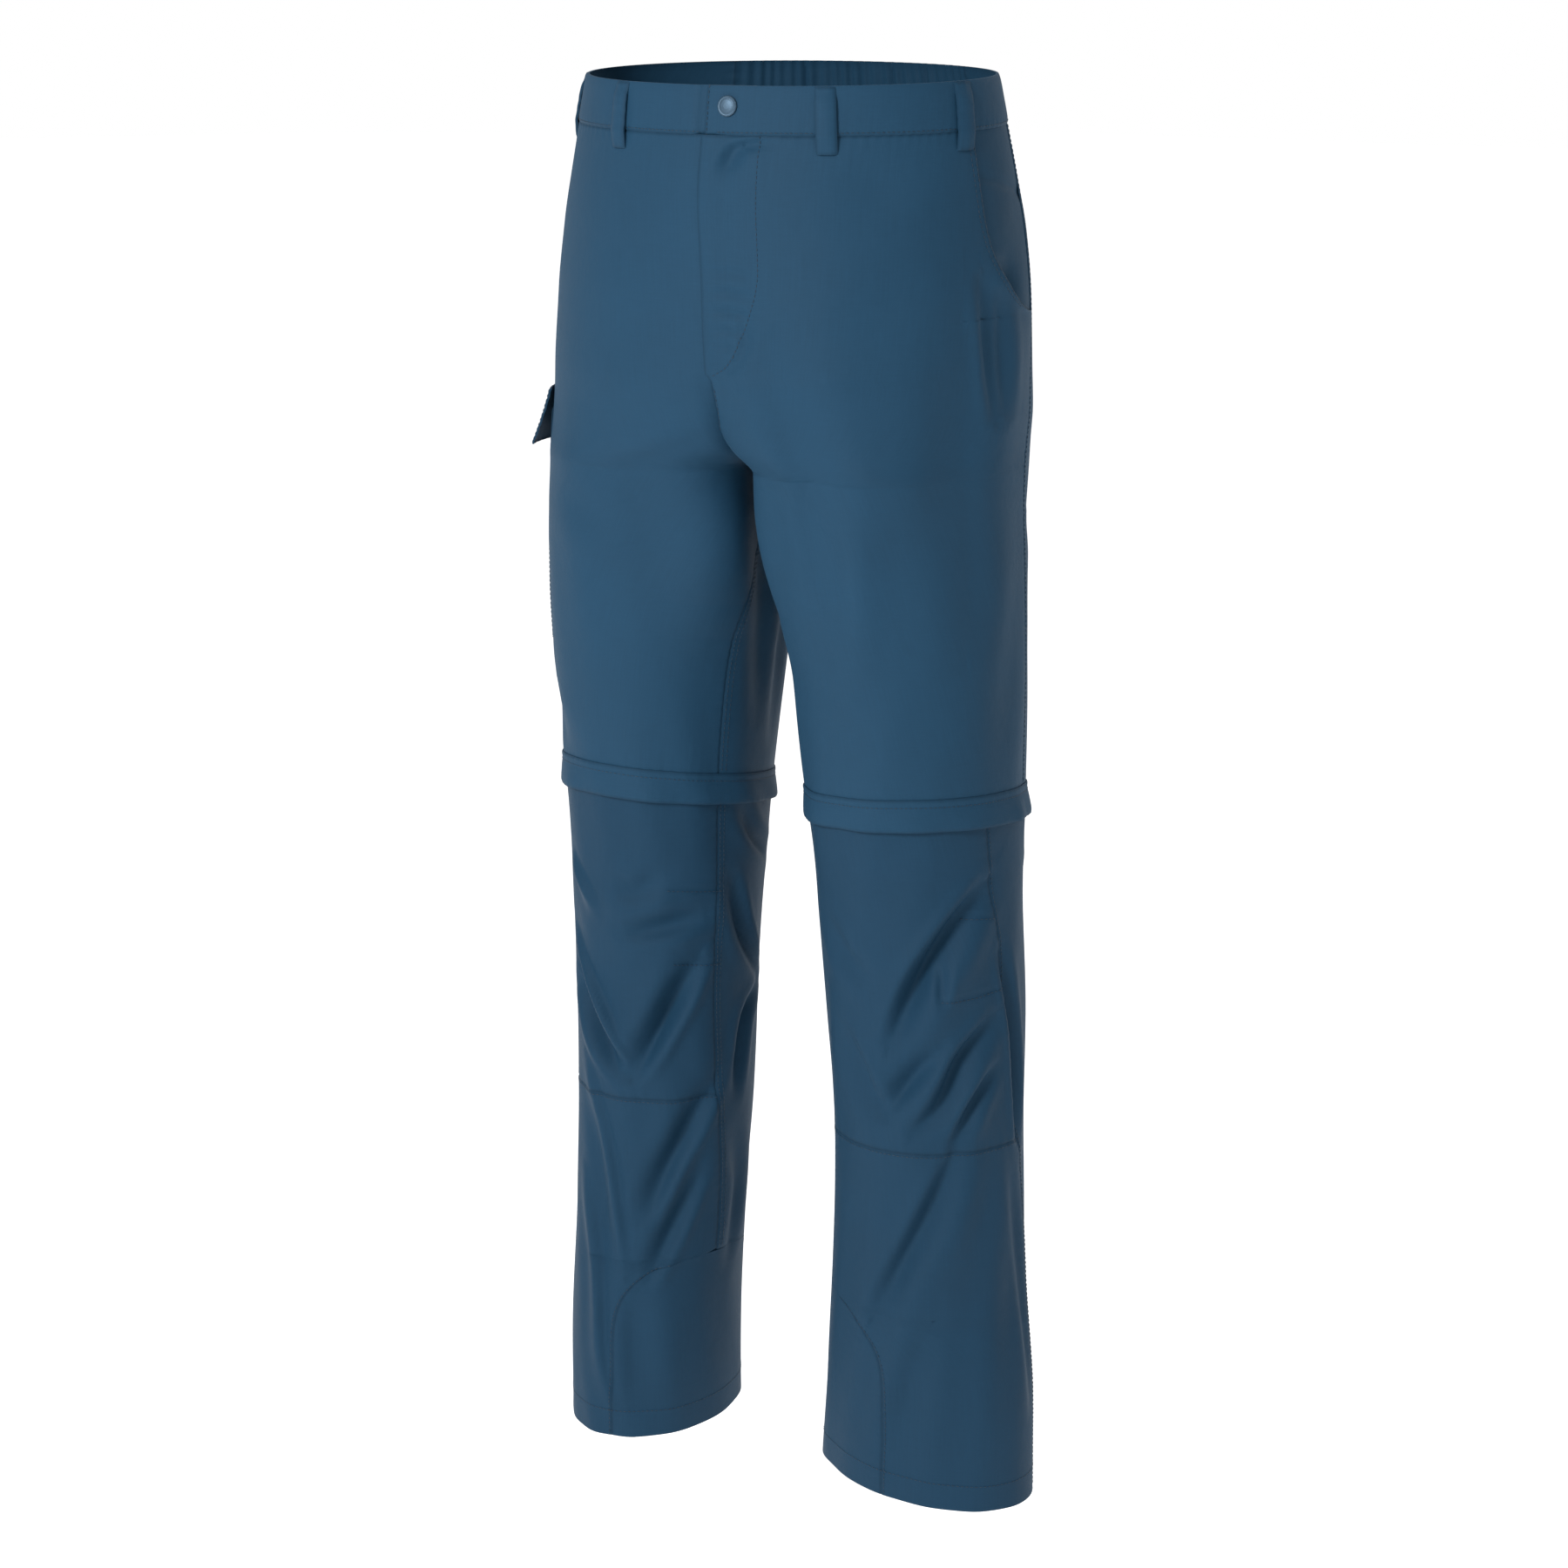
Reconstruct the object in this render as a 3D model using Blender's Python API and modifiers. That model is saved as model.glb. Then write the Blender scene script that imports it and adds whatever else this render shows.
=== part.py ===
# Hiking trousers with zip-off legs, in thin woven nylon, filled out as on a wearer.
# Metres, +Z up. The front faces -Y and the wearer's left is +X.
# The origin is the middle of the waist opening, level with the waistband's top edge.
# A place on the cloth is given by a side (LEFT or RIGHT), a level, which is the
# distance below the waistband's top edge, and an angle round that leg in degrees:
# 0 faces the other leg, 90 faces forward, 180 faces outward and 270 faces back.

import math

import bpy
from mathutils import Vector

# Driving sizes
CLOTH = 0.0015
LINING_CLOTH = 0.0012
BAND_CLOTH = 0.0022
SEAM_GAP = 0.0003
LAY_GAP = 0.0006
UNDER_GAP = 0.0013
BAND_DEPTH = 0.035
FORK_LEVEL = 0.283
ZIP_HALF = 0.006
SHIN_LEVEL = 0.788
HEM_LEVEL = 1.070

LEFT = 1
RIGHT = -1
KNEE_LEVEL = {LEFT: 0.533, RIGHT: 0.540}

# Form of the pelvis, the same on both sides: how far the section of one leg reaches
# outward, inward (past the middle where it is below zero), forward and back, and how
# far its plane tips, front up (pitch) and outside down (roll), as rise over run.
PELVIS_SECTIONS = (
    # level, outer, inner, front, back, pitch, roll
    (0.000, 0.1600, -0.1600, -0.115, 0.115, -0.036, 0.0),
    (0.035, 0.1670, -0.1670, -0.120, 0.121, -0.030, 0.0),
    (0.070, 0.1735, -0.1710, -0.126, 0.130, -0.018, 0.0),
    (0.110, 0.1800, -0.1680, -0.132, 0.136, 0.0, 0.0),
    (0.160, 0.1845, -0.1500, -0.137, 0.138, 0.0, 0.0),
    (0.205, 0.1860, -0.1130, -0.136, 0.135, 0.0, 0.0),
    (0.240, 0.1860, -0.0680, -0.130, 0.129, 0.0, 0.0),
    (0.265, 0.1850, -0.0280, -0.126, 0.120, 0.0, 0.0),
    (0.283, 0.1845, 0.0003, -0.123, 0.113, 0.0, 0.0),
)
LEG_SECTIONS = {
    LEFT: (
        # level, outer, inner, front, back, pitch, roll
        (0.320, 0.1850, 0.0035, -0.117, 0.108, 0.0, 0.0),
        (0.360, 0.1870, 0.0065, -0.111, 0.104, 0.01, 0.0),
        (0.400, 0.1880, 0.0120, -0.106, 0.101, 0.03, -0.01),
        (0.440, 0.1890, 0.0200, -0.102, 0.098, 0.05, -0.03),
        (0.520, 0.1920, 0.0300, -0.097, 0.085, 0.07, -0.05),
        (0.600, 0.1935, 0.0400, -0.0895, 0.0745, 0.05, -0.03),
        (0.700, 0.1990, 0.0485, -0.085, 0.067, 0.0, 0.0),
        (0.800, 0.2010, 0.0560, -0.083, 0.061, 0.0, 0.0),
        (0.900, 0.2060, 0.0540, -0.081, 0.055, 0.0, 0.03),
        (1.000, 0.2165, 0.0490, -0.080, 0.050, 0.0, 0.08),
        (1.070, 0.2180, 0.0460, -0.080, 0.050, 0.0, 0.10),
    ),
    RIGHT: (
        # level, outer, inner, front, back, pitch, roll
        (0.320, 0.1880, 0.0035, -0.117, 0.108, 0.0, 0.0),
        (0.360, 0.1915, 0.0065, -0.111, 0.104, 0.03, 0.0),
        (0.400, 0.1925, 0.0120, -0.106, 0.102, 0.06, -0.01),
        (0.440, 0.1920, 0.0190, -0.101, 0.100, 0.09, -0.02),
        (0.520, 0.1860, 0.0260, -0.094, 0.088, 0.15, -0.03),
        (0.600, 0.1810, 0.0320, -0.086, 0.080, 0.09, -0.02),
        (0.700, 0.1805, 0.0395, -0.0785, 0.0755, 0.0, 0.0),
        (0.800, 0.1815, 0.0440, -0.0745, 0.0755, 0.0, 0.0),
        (0.900, 0.1860, 0.0535, -0.073, 0.077, 0.0, 0.0),
        (1.000, 0.1895, 0.0600, -0.077, 0.081, 0.0, 0.0),
        (1.070, 0.1905, 0.0610, -0.079, 0.083, -0.05, 0.0),
    ),
}

# The centre seam drifts towards the wearer's left below the waistband.
CENTRE_DRIFT = (
    # level, drift
    (0.000, 0.0),
    (0.060, 0.0),
    (0.160, 0.009),
    (0.230, 0.009),
    (0.283, 0.004),
    (0.360, 0.0),
    (1.070, 0.0),
)

# Angles of the long seams
INSEAM = {
    LEFT: ((0.283, 0.0), (0.36, 6.0), (0.52, 8.0), (0.75, 10.0), (0.905, 15.0), (1.07, 15.0)),
    RIGHT: ((0.283, 0.0), (0.345, 15.0), (0.42, 26.0), (0.52, 28.0), (0.75, 26.0), (0.905, 15.0), (1.07, 15.0)),
}
SIDE_SEAM = ((0.0, 198.0), (0.52, 196.0), (1.07, 196.0))
LOWER_SIDE_SEAM = ((0.54, 158.0), (0.60, 162.0), (0.65, 169.0), (0.70, 172.0), (0.76, 178.0),
                   (0.80, 186.0), (0.88, 196.0), (1.07, 200.0))

# Front pocket: the front panel's scooped edge runs down, then curves back to the side seam.
SCOOP_ANGLE = 167.0
SCOOP_BEND_LEVEL = 0.090
SCOOP_END_LEVEL = 0.168
FACING_START_ANGLE = 158.0
FACING_UNDER_SIDE = 3.0
FACING_END_LEVEL = 0.190
FACING_SINK = 0.007

# Fly: the left front laps over the right one down to the bottom of the fly.
FLY_END_LEVEL = 0.205
LAP_REACH = 0.005
LAP_LIFT = CLOTH + LAY_GAP
FACING_WIDTH = 0.040

# Waistband
BAND_PROUD = 0.0006
BAND_LAP_X = -0.003
UNDERLAP_REACH = 0.034
ELASTIC_ANGLE = 232.0
GATHER_COUNT = 24
GATHER_HEIGHT = 0.0012

# Belt loops, by their angle round the left and right halves of the waist
LOOP_WIDTH = 0.015
LOOP_TOP = -0.003
LOOP_END = 0.051
LOOP_STAND = 0.0034
LOOP_GAP = 0.0003
LOOP_CLOTH = 0.0016
LOOP_ANGLES = (121.0, 165.0, 217.0)
BACK_ANGLE = 270.0

# Snap button on the left end of the waistband
SNAP_X = 0.0145
SNAP_LEVEL = 0.0145
SNAP_RADIUS = 0.0075
SNAP_HEIGHT = 0.0026

# Cargo pocket on the wearer's right thigh
CARGO_ANGLES = (154.0, 240.0)
CARGO_LEVELS = (0.252, 0.440)
CARGO_FLAP_ANGLES = (151.5, 242.0)
CARGO_FLAP_LEVELS = (0.236, 0.279)
CARGO_FLAP_SPRING = 0.0115

# Flap over each leg zip, from above the zip to below it
KNEE_FLAP_REACH = (0.0115, 0.0120)
KNEE_FLAP_SPRING = 0.0026

# Inner ankle panel: an arch with a flat crown
ARCH_CENTRE = 15.0
ARCH_HALF = 70.0
ARCH_TOP = {LEFT: 0.920, RIGHT: 0.925}
ARCH_HEIGHT = 0.070
ARCH_POWER = 2.6
ARCH_ROWS = (0.0, 0.0007, 0.0025, 0.0065, 0.014, 0.028, 0.048, 0.070)

# Main folds: a soft trough (or a ridge, where the depth is below zero) from one place
# to another. The width is that of half its cross section.
FOLD_DEGREE = 0.00135
FOLDS = {
    LEFT: (
        # start angle, start level, end angle, end level, width, depth
        (152.0, 0.592, 94.0, 0.700, 0.013, 0.0065),
        (157.0, 0.688, 112.0, 0.766, 0.011, 0.0050),
        (156.0, 0.728, 134.0, 0.774, 0.009, 0.0040),
        (122.0, 0.712, 93.0, 0.754, 0.010, 0.0040),
        (133.0, 0.790, 83.0, 0.916, 0.012, 0.0065),
        (109.0, 0.936, 92.0, 1.028, 0.013, 0.0040),
        (173.0, 0.655, 184.0, 0.785, 0.010, 0.0060),
        (66.0, 0.690, 88.0, 0.770, 0.014, 0.0035),
        (98.0, 0.190, 82.0, 0.290, 0.013, 0.0045),
        (154.0, 0.250, 152.0, 0.420, 0.018, 0.0035),
        (225.0, 0.600, 300.0, 0.660, 0.013, 0.0060),
        (310.0, 0.690, 240.0, 0.740, 0.012, 0.0055),
        (230.0, 0.830, 300.0, 0.790, 0.013, 0.0050),
        (215.0, 0.330, 300.0, 0.350, 0.020, 0.0060),
    ),
    RIGHT: (
        # start angle, start level, end angle, end level, width, depth
        (129.0, 0.668, 86.0, 0.750, 0.009, -0.0030),
        (124.0, 0.712, 92.0, 0.766, 0.012, 0.0060),
        (42.0, 0.684, 76.0, 0.762, 0.013, 0.0065),
        (40.0, 0.640, 80.0, 0.654, 0.011, 0.0040),
        (30.0, 0.792, 63.0, 0.880, 0.011, 0.0065),
        (35.0, 0.862, 61.0, 0.938, 0.010, 0.0050),
        (118.0, 0.780, 80.0, 0.928, 0.009, -0.0035),
        (118.0, 0.870, 88.0, 1.040, 0.009, -0.0035),
        (70.0, 0.960, 69.0, 1.050, 0.015, 0.0035),
        (8.0, 0.650, -14.0, 0.700, 0.011, 0.0050),
        (-14.0, 0.720, 4.0, 0.790, 0.011, 0.0045),
        (99.0, 0.290, 63.0, 0.262, 0.014, 0.0035),
        (232.0, 0.610, 296.0, 0.660, 0.013, 0.0060),
        (300.0, 0.700, 232.0, 0.745, 0.012, 0.0050),
        (215.0, 0.850, 290.0, 0.800, 0.013, 0.0050),
        (240.0, 0.335, 305.0, 0.350, 0.020, 0.0055),
    ),
}

CLOTH_COLOR = (0.035, 0.080, 0.125, 1.0)
LOWER_COLOR = (0.025, 0.065, 0.105, 1.0)
INSIDE_COLOR = (0.020, 0.050, 0.085, 1.0)
SNAP_COLOR = (0.10, 0.14, 0.19, 1.0)


def clear_scene():
    for thing in list(bpy.data.objects):
        bpy.data.objects.remove(thing, do_unlink=True)


def smooth_step(value):
    value = min(max(value, 0.0), 1.0)
    return value * value * (3.0 - 2.0 * value)


def read_column(rows, level, column):
    """One column of a table, read between its rows along a smooth curve without overshoot."""
    if level <= rows[0][0]:
        return rows[0][column]
    if level >= rows[-1][0]:
        return rows[-1][column]
    here = max(i for i, row in enumerate(rows) if row[0] <= level)

    def slope(i):
        return (rows[i + 1][column] - rows[i][column]) / (rows[i + 1][0] - rows[i][0])

    def tangent(i):
        if i == 0:
            return slope(0)
        if i == len(rows) - 1:
            return slope(i - 1)
        before, after = slope(i - 1), slope(i)
        return 0.0 if before * after <= 0.0 else 2.0 * before * after / (before + after)

    span = rows[here + 1][0] - rows[here][0]
    t = (level - rows[here][0]) / span
    start, end = rows[here][column], rows[here + 1][column]
    return ((1 + 2 * t) * (1 - t) ** 2 * start + t * (1 - t) ** 2 * span * tangent(here)
            + t * t * (3 - 2 * t) * end + t * t * (t - 1) * span * tangent(here + 1))


class Section:
    """The ellipse of one leg at one level, in that leg's own outward direction."""

    def __init__(self, side, level):
        rows = PELVIS_SECTIONS + LEG_SECTIONS[side]
        outer, inner, front, back, self.pitch, self.roll = (read_column(rows, level, i) for i in range(1, 7))
        self.side = side
        self.level = level
        self.outer = outer
        self.mid = Vector(((outer + inner) / 2, (front + back) / 2))
        self.half = Vector(((outer - inner) / 2, (back - front) / 2))
        self.drift = read_column(CENTRE_DRIFT, level, 1)

    def turn(self, length):
        """Degrees that a length of cloth takes up."""
        return math.degrees(length / ((self.half.x + self.half.y) / 2))

    def angle_at(self, across):
        """The angle on the front where the section is this far outward from the middle."""
        return math.degrees(math.acos(max(-1.0, min(1.0, (self.mid.x - across) / self.half.x))))

    def fold_depth(self, angle):
        return sum(fold_depth(fold, angle, self.level) for fold in FOLDS[self.side])

    def point(self, angle, out=0.0):
        """A point of the cloth's outer face, moved out from it along the level.
        Above the fork, cloth that laps past the middle follows the other half's form."""
        turn = math.radians(angle)
        across = self.mid.x - self.half.x * math.cos(turn)
        past = self.level < FORK_LEVEL and across < 0.0
        if past:
            twin = math.acos(max((self.mid.x + across) / self.half.x, -1.0))
            turn = twin if angle < 180.0 else 2 * math.pi - twin
        along = self.mid.y - self.half.y * math.sin(turn)
        normal = Vector((-math.cos(turn) / self.half.x, -math.sin(turn) / self.half.y)).normalized()
        if past:
            normal.x = -normal.x
        out -= self.fold_depth(angle)
        drop = self.level + self.pitch * (along - self.mid.y) + self.roll * (across - self.mid.x)
        sideways = self.side * (across + out * normal.x)
        sideways += self.drift * (1.0 - (across / self.outer) ** 2)
        return Vector((sideways, along + out * normal.y, -drop))


def fold_depth(fold, angle, level):
    """How far one fold sinks the cloth at a place: deepest on its line, gone at its ends."""
    start_angle, start_level, end_angle, end_level, width, depth = fold
    line = Vector(((end_angle - start_angle) * FOLD_DEGREE, end_level - start_level))
    turn = (angle - start_angle + 180.0) % 360.0 - 180.0
    place = Vector((turn * FOLD_DEGREE, level - start_level))
    along = place.dot(line) / line.length_squared
    aside = (place - line * along).length
    fade = smooth_step((along + 0.15) / 0.35) * smooth_step((1.15 - along) / 0.35)
    return depth * fade * math.exp(-(aside / width) ** 2)


def front_start(section, gap=SEAM_GAP / 2):
    """Angle of a front panel's inner edge: the centre seam, then the inseam."""
    if section.level < FORK_LEVEL:
        return section.angle_at(gap)
    return read_column(INSEAM[section.side], section.level, 1) + section.turn(gap)


def back_end(section, gap=SEAM_GAP / 2):
    """Angle of a back panel's inner edge: the centre seam, then the inseam."""
    if section.level < FORK_LEVEL:
        return 360.0 - section.angle_at(gap)
    return 360.0 + read_column(INSEAM[section.side], section.level, 1) - section.turn(gap)


def side_angle(section):
    return read_column(SIDE_SEAM, section.level, 1)


def lower_side_angle(section):
    return read_column(LOWER_SIDE_SEAM, section.level, 1)


def scoop_edge(section):
    """The front panel's outer edge, scooped for the pocket above and at the side seam below."""
    seam = side_angle(section)
    along = (section.level - SCOOP_BEND_LEVEL) / (SCOOP_END_LEVEL - SCOOP_BEND_LEVEL)
    if along >= 1.0:
        return seam - section.turn(SEAM_GAP / 2)
    bend = math.sqrt(1.0 - max(along, 0.0) ** 2)
    return seam - section.turn(SEAM_GAP / 2) - (seam - SCOOP_ANGLE) * bend


def arch_spread(section, inset):
    """Half the ankle panel's width in degrees at a level, or zero above its crown."""
    along = (section.level - ARCH_TOP[section.side] - inset) / ARCH_HEIGHT
    if along <= 0.0:
        return 0.0
    share = (1.0 - (1.0 - min(along, 1.0)) ** ARCH_POWER) ** (1.0 / ARCH_POWER)
    return max(ARCH_HALF * share - section.turn(inset), 0.0)


def lower_front_start(section):
    seam = read_column(INSEAM[section.side], section.level, 1)
    if section.level > ARCH_TOP[section.side]:
        seam = ARCH_CENTRE + arch_spread(section, 0.0)
    return seam + section.turn(SEAM_GAP / 2)


def lower_back_end(section):
    seam = read_column(INSEAM[section.side], section.level, 1)
    if section.level > ARCH_TOP[section.side]:
        seam = ARCH_CENTRE - arch_spread(section, 0.0)
    return 360.0 + seam - section.turn(SEAM_GAP / 2)


def even_levels(start, end, step):
    count = max(1, round((end - start) / step))
    return [start + (end - start) * i / count for i in range(count + 1)]


def with_levels(levels, extra):
    """Adds rows at special levels and drops the even rows that come too near them."""
    low, high = levels[0], levels[-1]
    extra = [level for level in extra if low < level < high]
    kept = [level for level in levels[1:-1] if all(abs(level - other) > 0.004 for other in extra)]
    return sorted([low, high] + kept + extra)


def between(levels, low, high):
    """The rows of a panel that a piece lying on it shares, with that piece's own ends."""
    return [low] + [level for level in levels if low + 0.003 < level < high - 0.003] + [high]


def shorts_levels(side):
    fork_rows = [FORK_LEVEL + step for step in (-0.030, -0.017, -0.008, -0.0025, 0.0, 0.006)]
    return with_levels(even_levels(BAND_DEPTH + SEAM_GAP / 2, KNEE_LEVEL[side] - ZIP_HALF, 0.031), fork_rows)


def add_object(name, mesh, material):
    thing = bpy.data.objects.new(name, mesh)
    mesh.materials.append(material)
    GARMENT.objects.link(thing)
    return thing


def add_wall(name, outer, inner, material, closed=False):
    """A cloth wall between two matching grids of points, rows of columns, capped round its edge."""
    rows, columns = len(outer), len(outer[0])
    points = [p for row in outer for p in row] + [p for row in inner for p in row]
    shift = rows * columns
    faces = []
    last = columns if closed else columns - 1
    for r in range(rows - 1):
        for c in range(last):
            a, b = r * columns + c, r * columns + (c + 1) % columns
            faces.append((a, b, b + columns, a + columns))
            faces.append((a + columns + shift, b + columns + shift, b + shift, a + shift))
    for c in range(last):
        a, b = c, (c + 1) % columns
        faces.append((b, a, a + shift, b + shift))
        a, b = a + (rows - 1) * columns, b + (rows - 1) * columns
        faces.append((a, b, b + shift, a + shift))
    if not closed:
        for r in range(rows - 1):
            a, b = r * columns, (r + 1) * columns
            faces.append((a, b, b + shift, a + shift))
            a, b = a + columns - 1, b + columns - 1
            faces.append((b, a, a + shift, b + shift))
    mesh = bpy.data.meshes.new(name)
    mesh.from_pydata([tuple(p) for p in points], [], faces)
    mesh.shade_smooth()
    mesh.set_sharp_from_angle(angle=math.radians(50))
    mesh.validate()
    thing = add_object(name, mesh, material)
    return thing


def panel(name, side, levels, start, end, columns, material, lift=None, wall=CLOTH, closed=False, lead=None):
    """A cloth piece between two edges, each a function of the section, moved out by lift.
    Set columns can lead from its first edge, before the even ones."""
    outer, inner = [], []
    for level in levels:
        section = Section(side, level)
        set_angles = [start(section)] + (lead(section) if lead else [])
        first, last = set_angles[-1], end(section)
        steps = columns if closed else columns - 1
        angles = set_angles[:-1] + [first + (last - first) * i / steps for i in range(columns)]
        lifts = [lift(section, angle) if lift else 0.0 for angle in angles]
        row = [section.point(angle, out) for angle, out in zip(angles, lifts)]
        below = [section.point(angle, out - wall) for angle, out in zip(angles, lifts)]
        outer.append(row if side == LEFT else row[::-1])
        inner.append(below if side == LEFT else below[::-1])
    return add_wall(name, outer[::-1], inner[::-1], material, closed)


def side_name(base, side):
    return f"{base}_left" if side == LEFT else f"{base}_right"


def make_material(name, color, roughness, metallic=0.0):
    material = bpy.data.materials.new(name)
    material.use_nodes = True
    shader = material.node_tree.nodes["Principled BSDF"]
    shader.inputs["Base Color"].default_value = color
    shader.inputs["Roughness"].default_value = roughness
    shader.inputs["Metallic"].default_value = metallic
    return material


def make_shorts(side):
    """Front and back of the part above the leg zip, and the facing in the pocket's mouth."""
    scoop_rows = [0.125, 0.148, 0.160, 0.1665, SCOOP_END_LEVEL]
    levels = shorts_levels(side)

    def lap_start(section):
        """The left front laps over the right one along the fly."""
        share = 1.0 - smooth_step((section.level - FLY_END_LEVEL) / 0.008)
        if side == RIGHT or share == 0.0:
            return front_start(section)
        return section.angle_at(SEAM_GAP / 2 - share * (LAP_REACH + SEAM_GAP / 2))

    def lap_lift(section, angle):
        if side == RIGHT:
            return 0.0
        across = section.mid.x - section.half.x * math.cos(math.radians(angle))
        near = 1.0 - smooth_step((across - 0.002) / 0.016)
        return LAP_LIFT * near * (1.0 - smooth_step((section.level - FLY_END_LEVEL - 0.008) / 0.030))

    front_levels = with_levels(levels, scoop_rows + [FLY_END_LEVEL, FLY_END_LEVEL + 0.008])
    panel(side_name("front", side), side, front_levels, lap_start, scoop_edge, 12, CLOTH_MATERIAL, lap_lift,
          lead=lambda section: [front_start(section) + section.turn(step) for step in (0.0015, 0.013)])
    panel(side_name("back", side), side, levels,
          lambda section: side_angle(section) + section.turn(SEAM_GAP / 2), back_end, 11, CLOTH_MATERIAL)

    def facing_lift(section, angle):
        """Under the front and back, and sunk where the pocket's mouth gapes."""
        away = ((angle - 180.0) / 9.0) ** 2 + ((section.level - 0.143) / 0.022) ** 2
        return -(CLOTH + UNDER_GAP) - FACING_SINK * math.exp(-away)

    panel(side_name("pocket_facing", side), side, between(front_levels, front_levels[0], FACING_END_LEVEL),
          lambda section: FACING_START_ANGLE, lambda section: side_angle(section) + FACING_UNDER_SIDE,
          8, INSIDE_MATERIAL, facing_lift, LINING_CLOTH)


def make_fly_facing():
    """The facing behind the left front's lap, with its J-shaped lower end."""
    start = 0.008

    def inner_edge(section):
        return section.angle_at(start)

    def outer_edge(section):
        along = smooth_step((section.level - 0.130) / (FLY_END_LEVEL - 0.130))
        return section.angle_at(start + (FACING_WIDTH - start) * math.sqrt(1.0 - 0.93 * along))

    levels = between(shorts_levels(LEFT), BAND_DEPTH + SEAM_GAP, FLY_END_LEVEL)
    panel("fly_facing", LEFT, levels, inner_edge, outer_edge, 5, INSIDE_MATERIAL,
          lambda section, angle: -(CLOTH + UNDER_GAP), LINING_CLOTH)


def make_waistband():
    levels = [0.0, BAND_DEPTH - SEAM_GAP / 2]

    def elastic_start(section):
        return ELASTIC_ANGLE - section.turn(SEAM_GAP / 2)

    panel("waistband_front_left", LEFT, levels, lambda section: section.angle_at(BAND_LAP_X),
          elastic_start, 18, CLOTH_MATERIAL, lambda section, angle: BAND_PROUD, BAND_CLOTH)

    def underlap_lift(section, angle):
        """The right end steps inward to pass behind the left one."""
        across = section.mid.x - section.half.x * math.cos(math.radians(angle))
        step = smooth_step((0.012 - across) / 0.006)
        return BAND_PROUD - step * (BAND_CLOTH + LAY_GAP)

    tongue = (-0.017, 0.0, 0.004, 0.006, 0.008, 0.010, 0.012)
    panel("waistband_front_right", RIGHT, levels, lambda section: section.angle_at(-UNDERLAP_REACH),
          elastic_start, 21, CLOTH_MATERIAL, underlap_lift, BAND_CLOTH,
          lead=lambda section: [section.angle_at(across) for across in tongue])

    def gathers(section, angle):
        """Even waves of cloth drawn up by the elastic."""
        share = (angle - ELASTIC_ANGLE) / (2 * (BACK_ANGLE - ELASTIC_ANGLE))
        wave = math.sin(share * GATHER_COUNT * 2 * math.pi) * math.sin(math.pi * min(max(share, 0.0), 1.0)) ** 0.3
        return BAND_PROUD + GATHER_HEIGHT * wave

    panel("waistband_back", LEFT, levels, lambda section: ELASTIC_ANGLE + section.turn(SEAM_GAP / 2),
          lambda section: 2 * BACK_ANGLE - ELASTIC_ANGLE - section.turn(SEAM_GAP / 2),
          GATHER_COUNT * 4 + 1, CLOTH_MATERIAL, gathers, BAND_CLOTH)


def make_belt_loop(name, side, centre):
    """A folded strip, sewn down above and below, standing off the waistband between."""
    levels = [LOOP_TOP + (LOOP_END - LOOP_TOP) * share for share in (0, 0.06, 0.16, 0.3, 0.5, 0.7, 0.84, 0.94, 1)]
    rest = BAND_PROUD + LOOP_GAP
    if centre == BACK_ANGLE:
        rest += GATHER_HEIGHT

    def speed(section):
        turn = math.radians(centre)
        return math.radians(1.0) * math.hypot(section.half.x * math.sin(turn), section.half.y * math.cos(turn))

    def lift(section, angle):
        share = (section.level - LOOP_TOP) / (LOOP_END - LOOP_TOP)
        stand = smooth_step(share / 0.28) * smooth_step((1.0 - share) / 0.28)
        return rest + LOOP_STAND * stand + LOOP_CLOTH

    panel(name, side, levels, lambda section: centre - LOOP_WIDTH / 2 / speed(section),
          lambda section: centre + LOOP_WIDTH / 2 / speed(section), 3, CLOTH_MATERIAL, lift, LOOP_CLOTH)


def make_snap():
    """The snap button's cap: a turned dome with a rolled rim."""
    profile = [(0.0, 1.0), (0.30, 0.97), (0.58, 0.86), (0.76, 0.72), (0.80, 0.64), (0.88, 0.66),
               (0.97, 0.52), (1.0, 0.30), (0.97, 0.08), (0.90, 0.0), (0.0, 0.0)]
    mesh = bpy.data.meshes.new("snap_button")
    corners = [(r * SNAP_RADIUS, 0.0, z * SNAP_HEIGHT) for r, z in profile]
    mesh.from_pydata(corners, [(i, i + 1) for i in range(len(corners) - 1)], [])
    snap = add_object("snap_button", mesh, SNAP_MATERIAL)
    turned = snap.modifiers.new("turned", "SCREW")
    turned.axis = "Z"
    turned.steps = 16
    turned.render_steps = 16
    turned.use_merge_vertices = True
    turned.merge_threshold = 0.00001
    turned.use_smooth_shade = True
    section = Section(LEFT, SNAP_LEVEL)
    angle = section.angle_at(SNAP_X)
    seat = section.point(angle, BAND_PROUD)
    down = Section(LEFT, SNAP_LEVEL + SNAP_RADIUS).point(angle, BAND_PROUD) - seat
    aside = section.point(angle + 1.0, BAND_PROUD) - seat
    out = aside.cross(-down).normalized()
    seat += out * LAY_GAP
    snap.location = seat
    snap.rotation_euler = out.to_track_quat("Z", "Y").to_euler()


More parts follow.
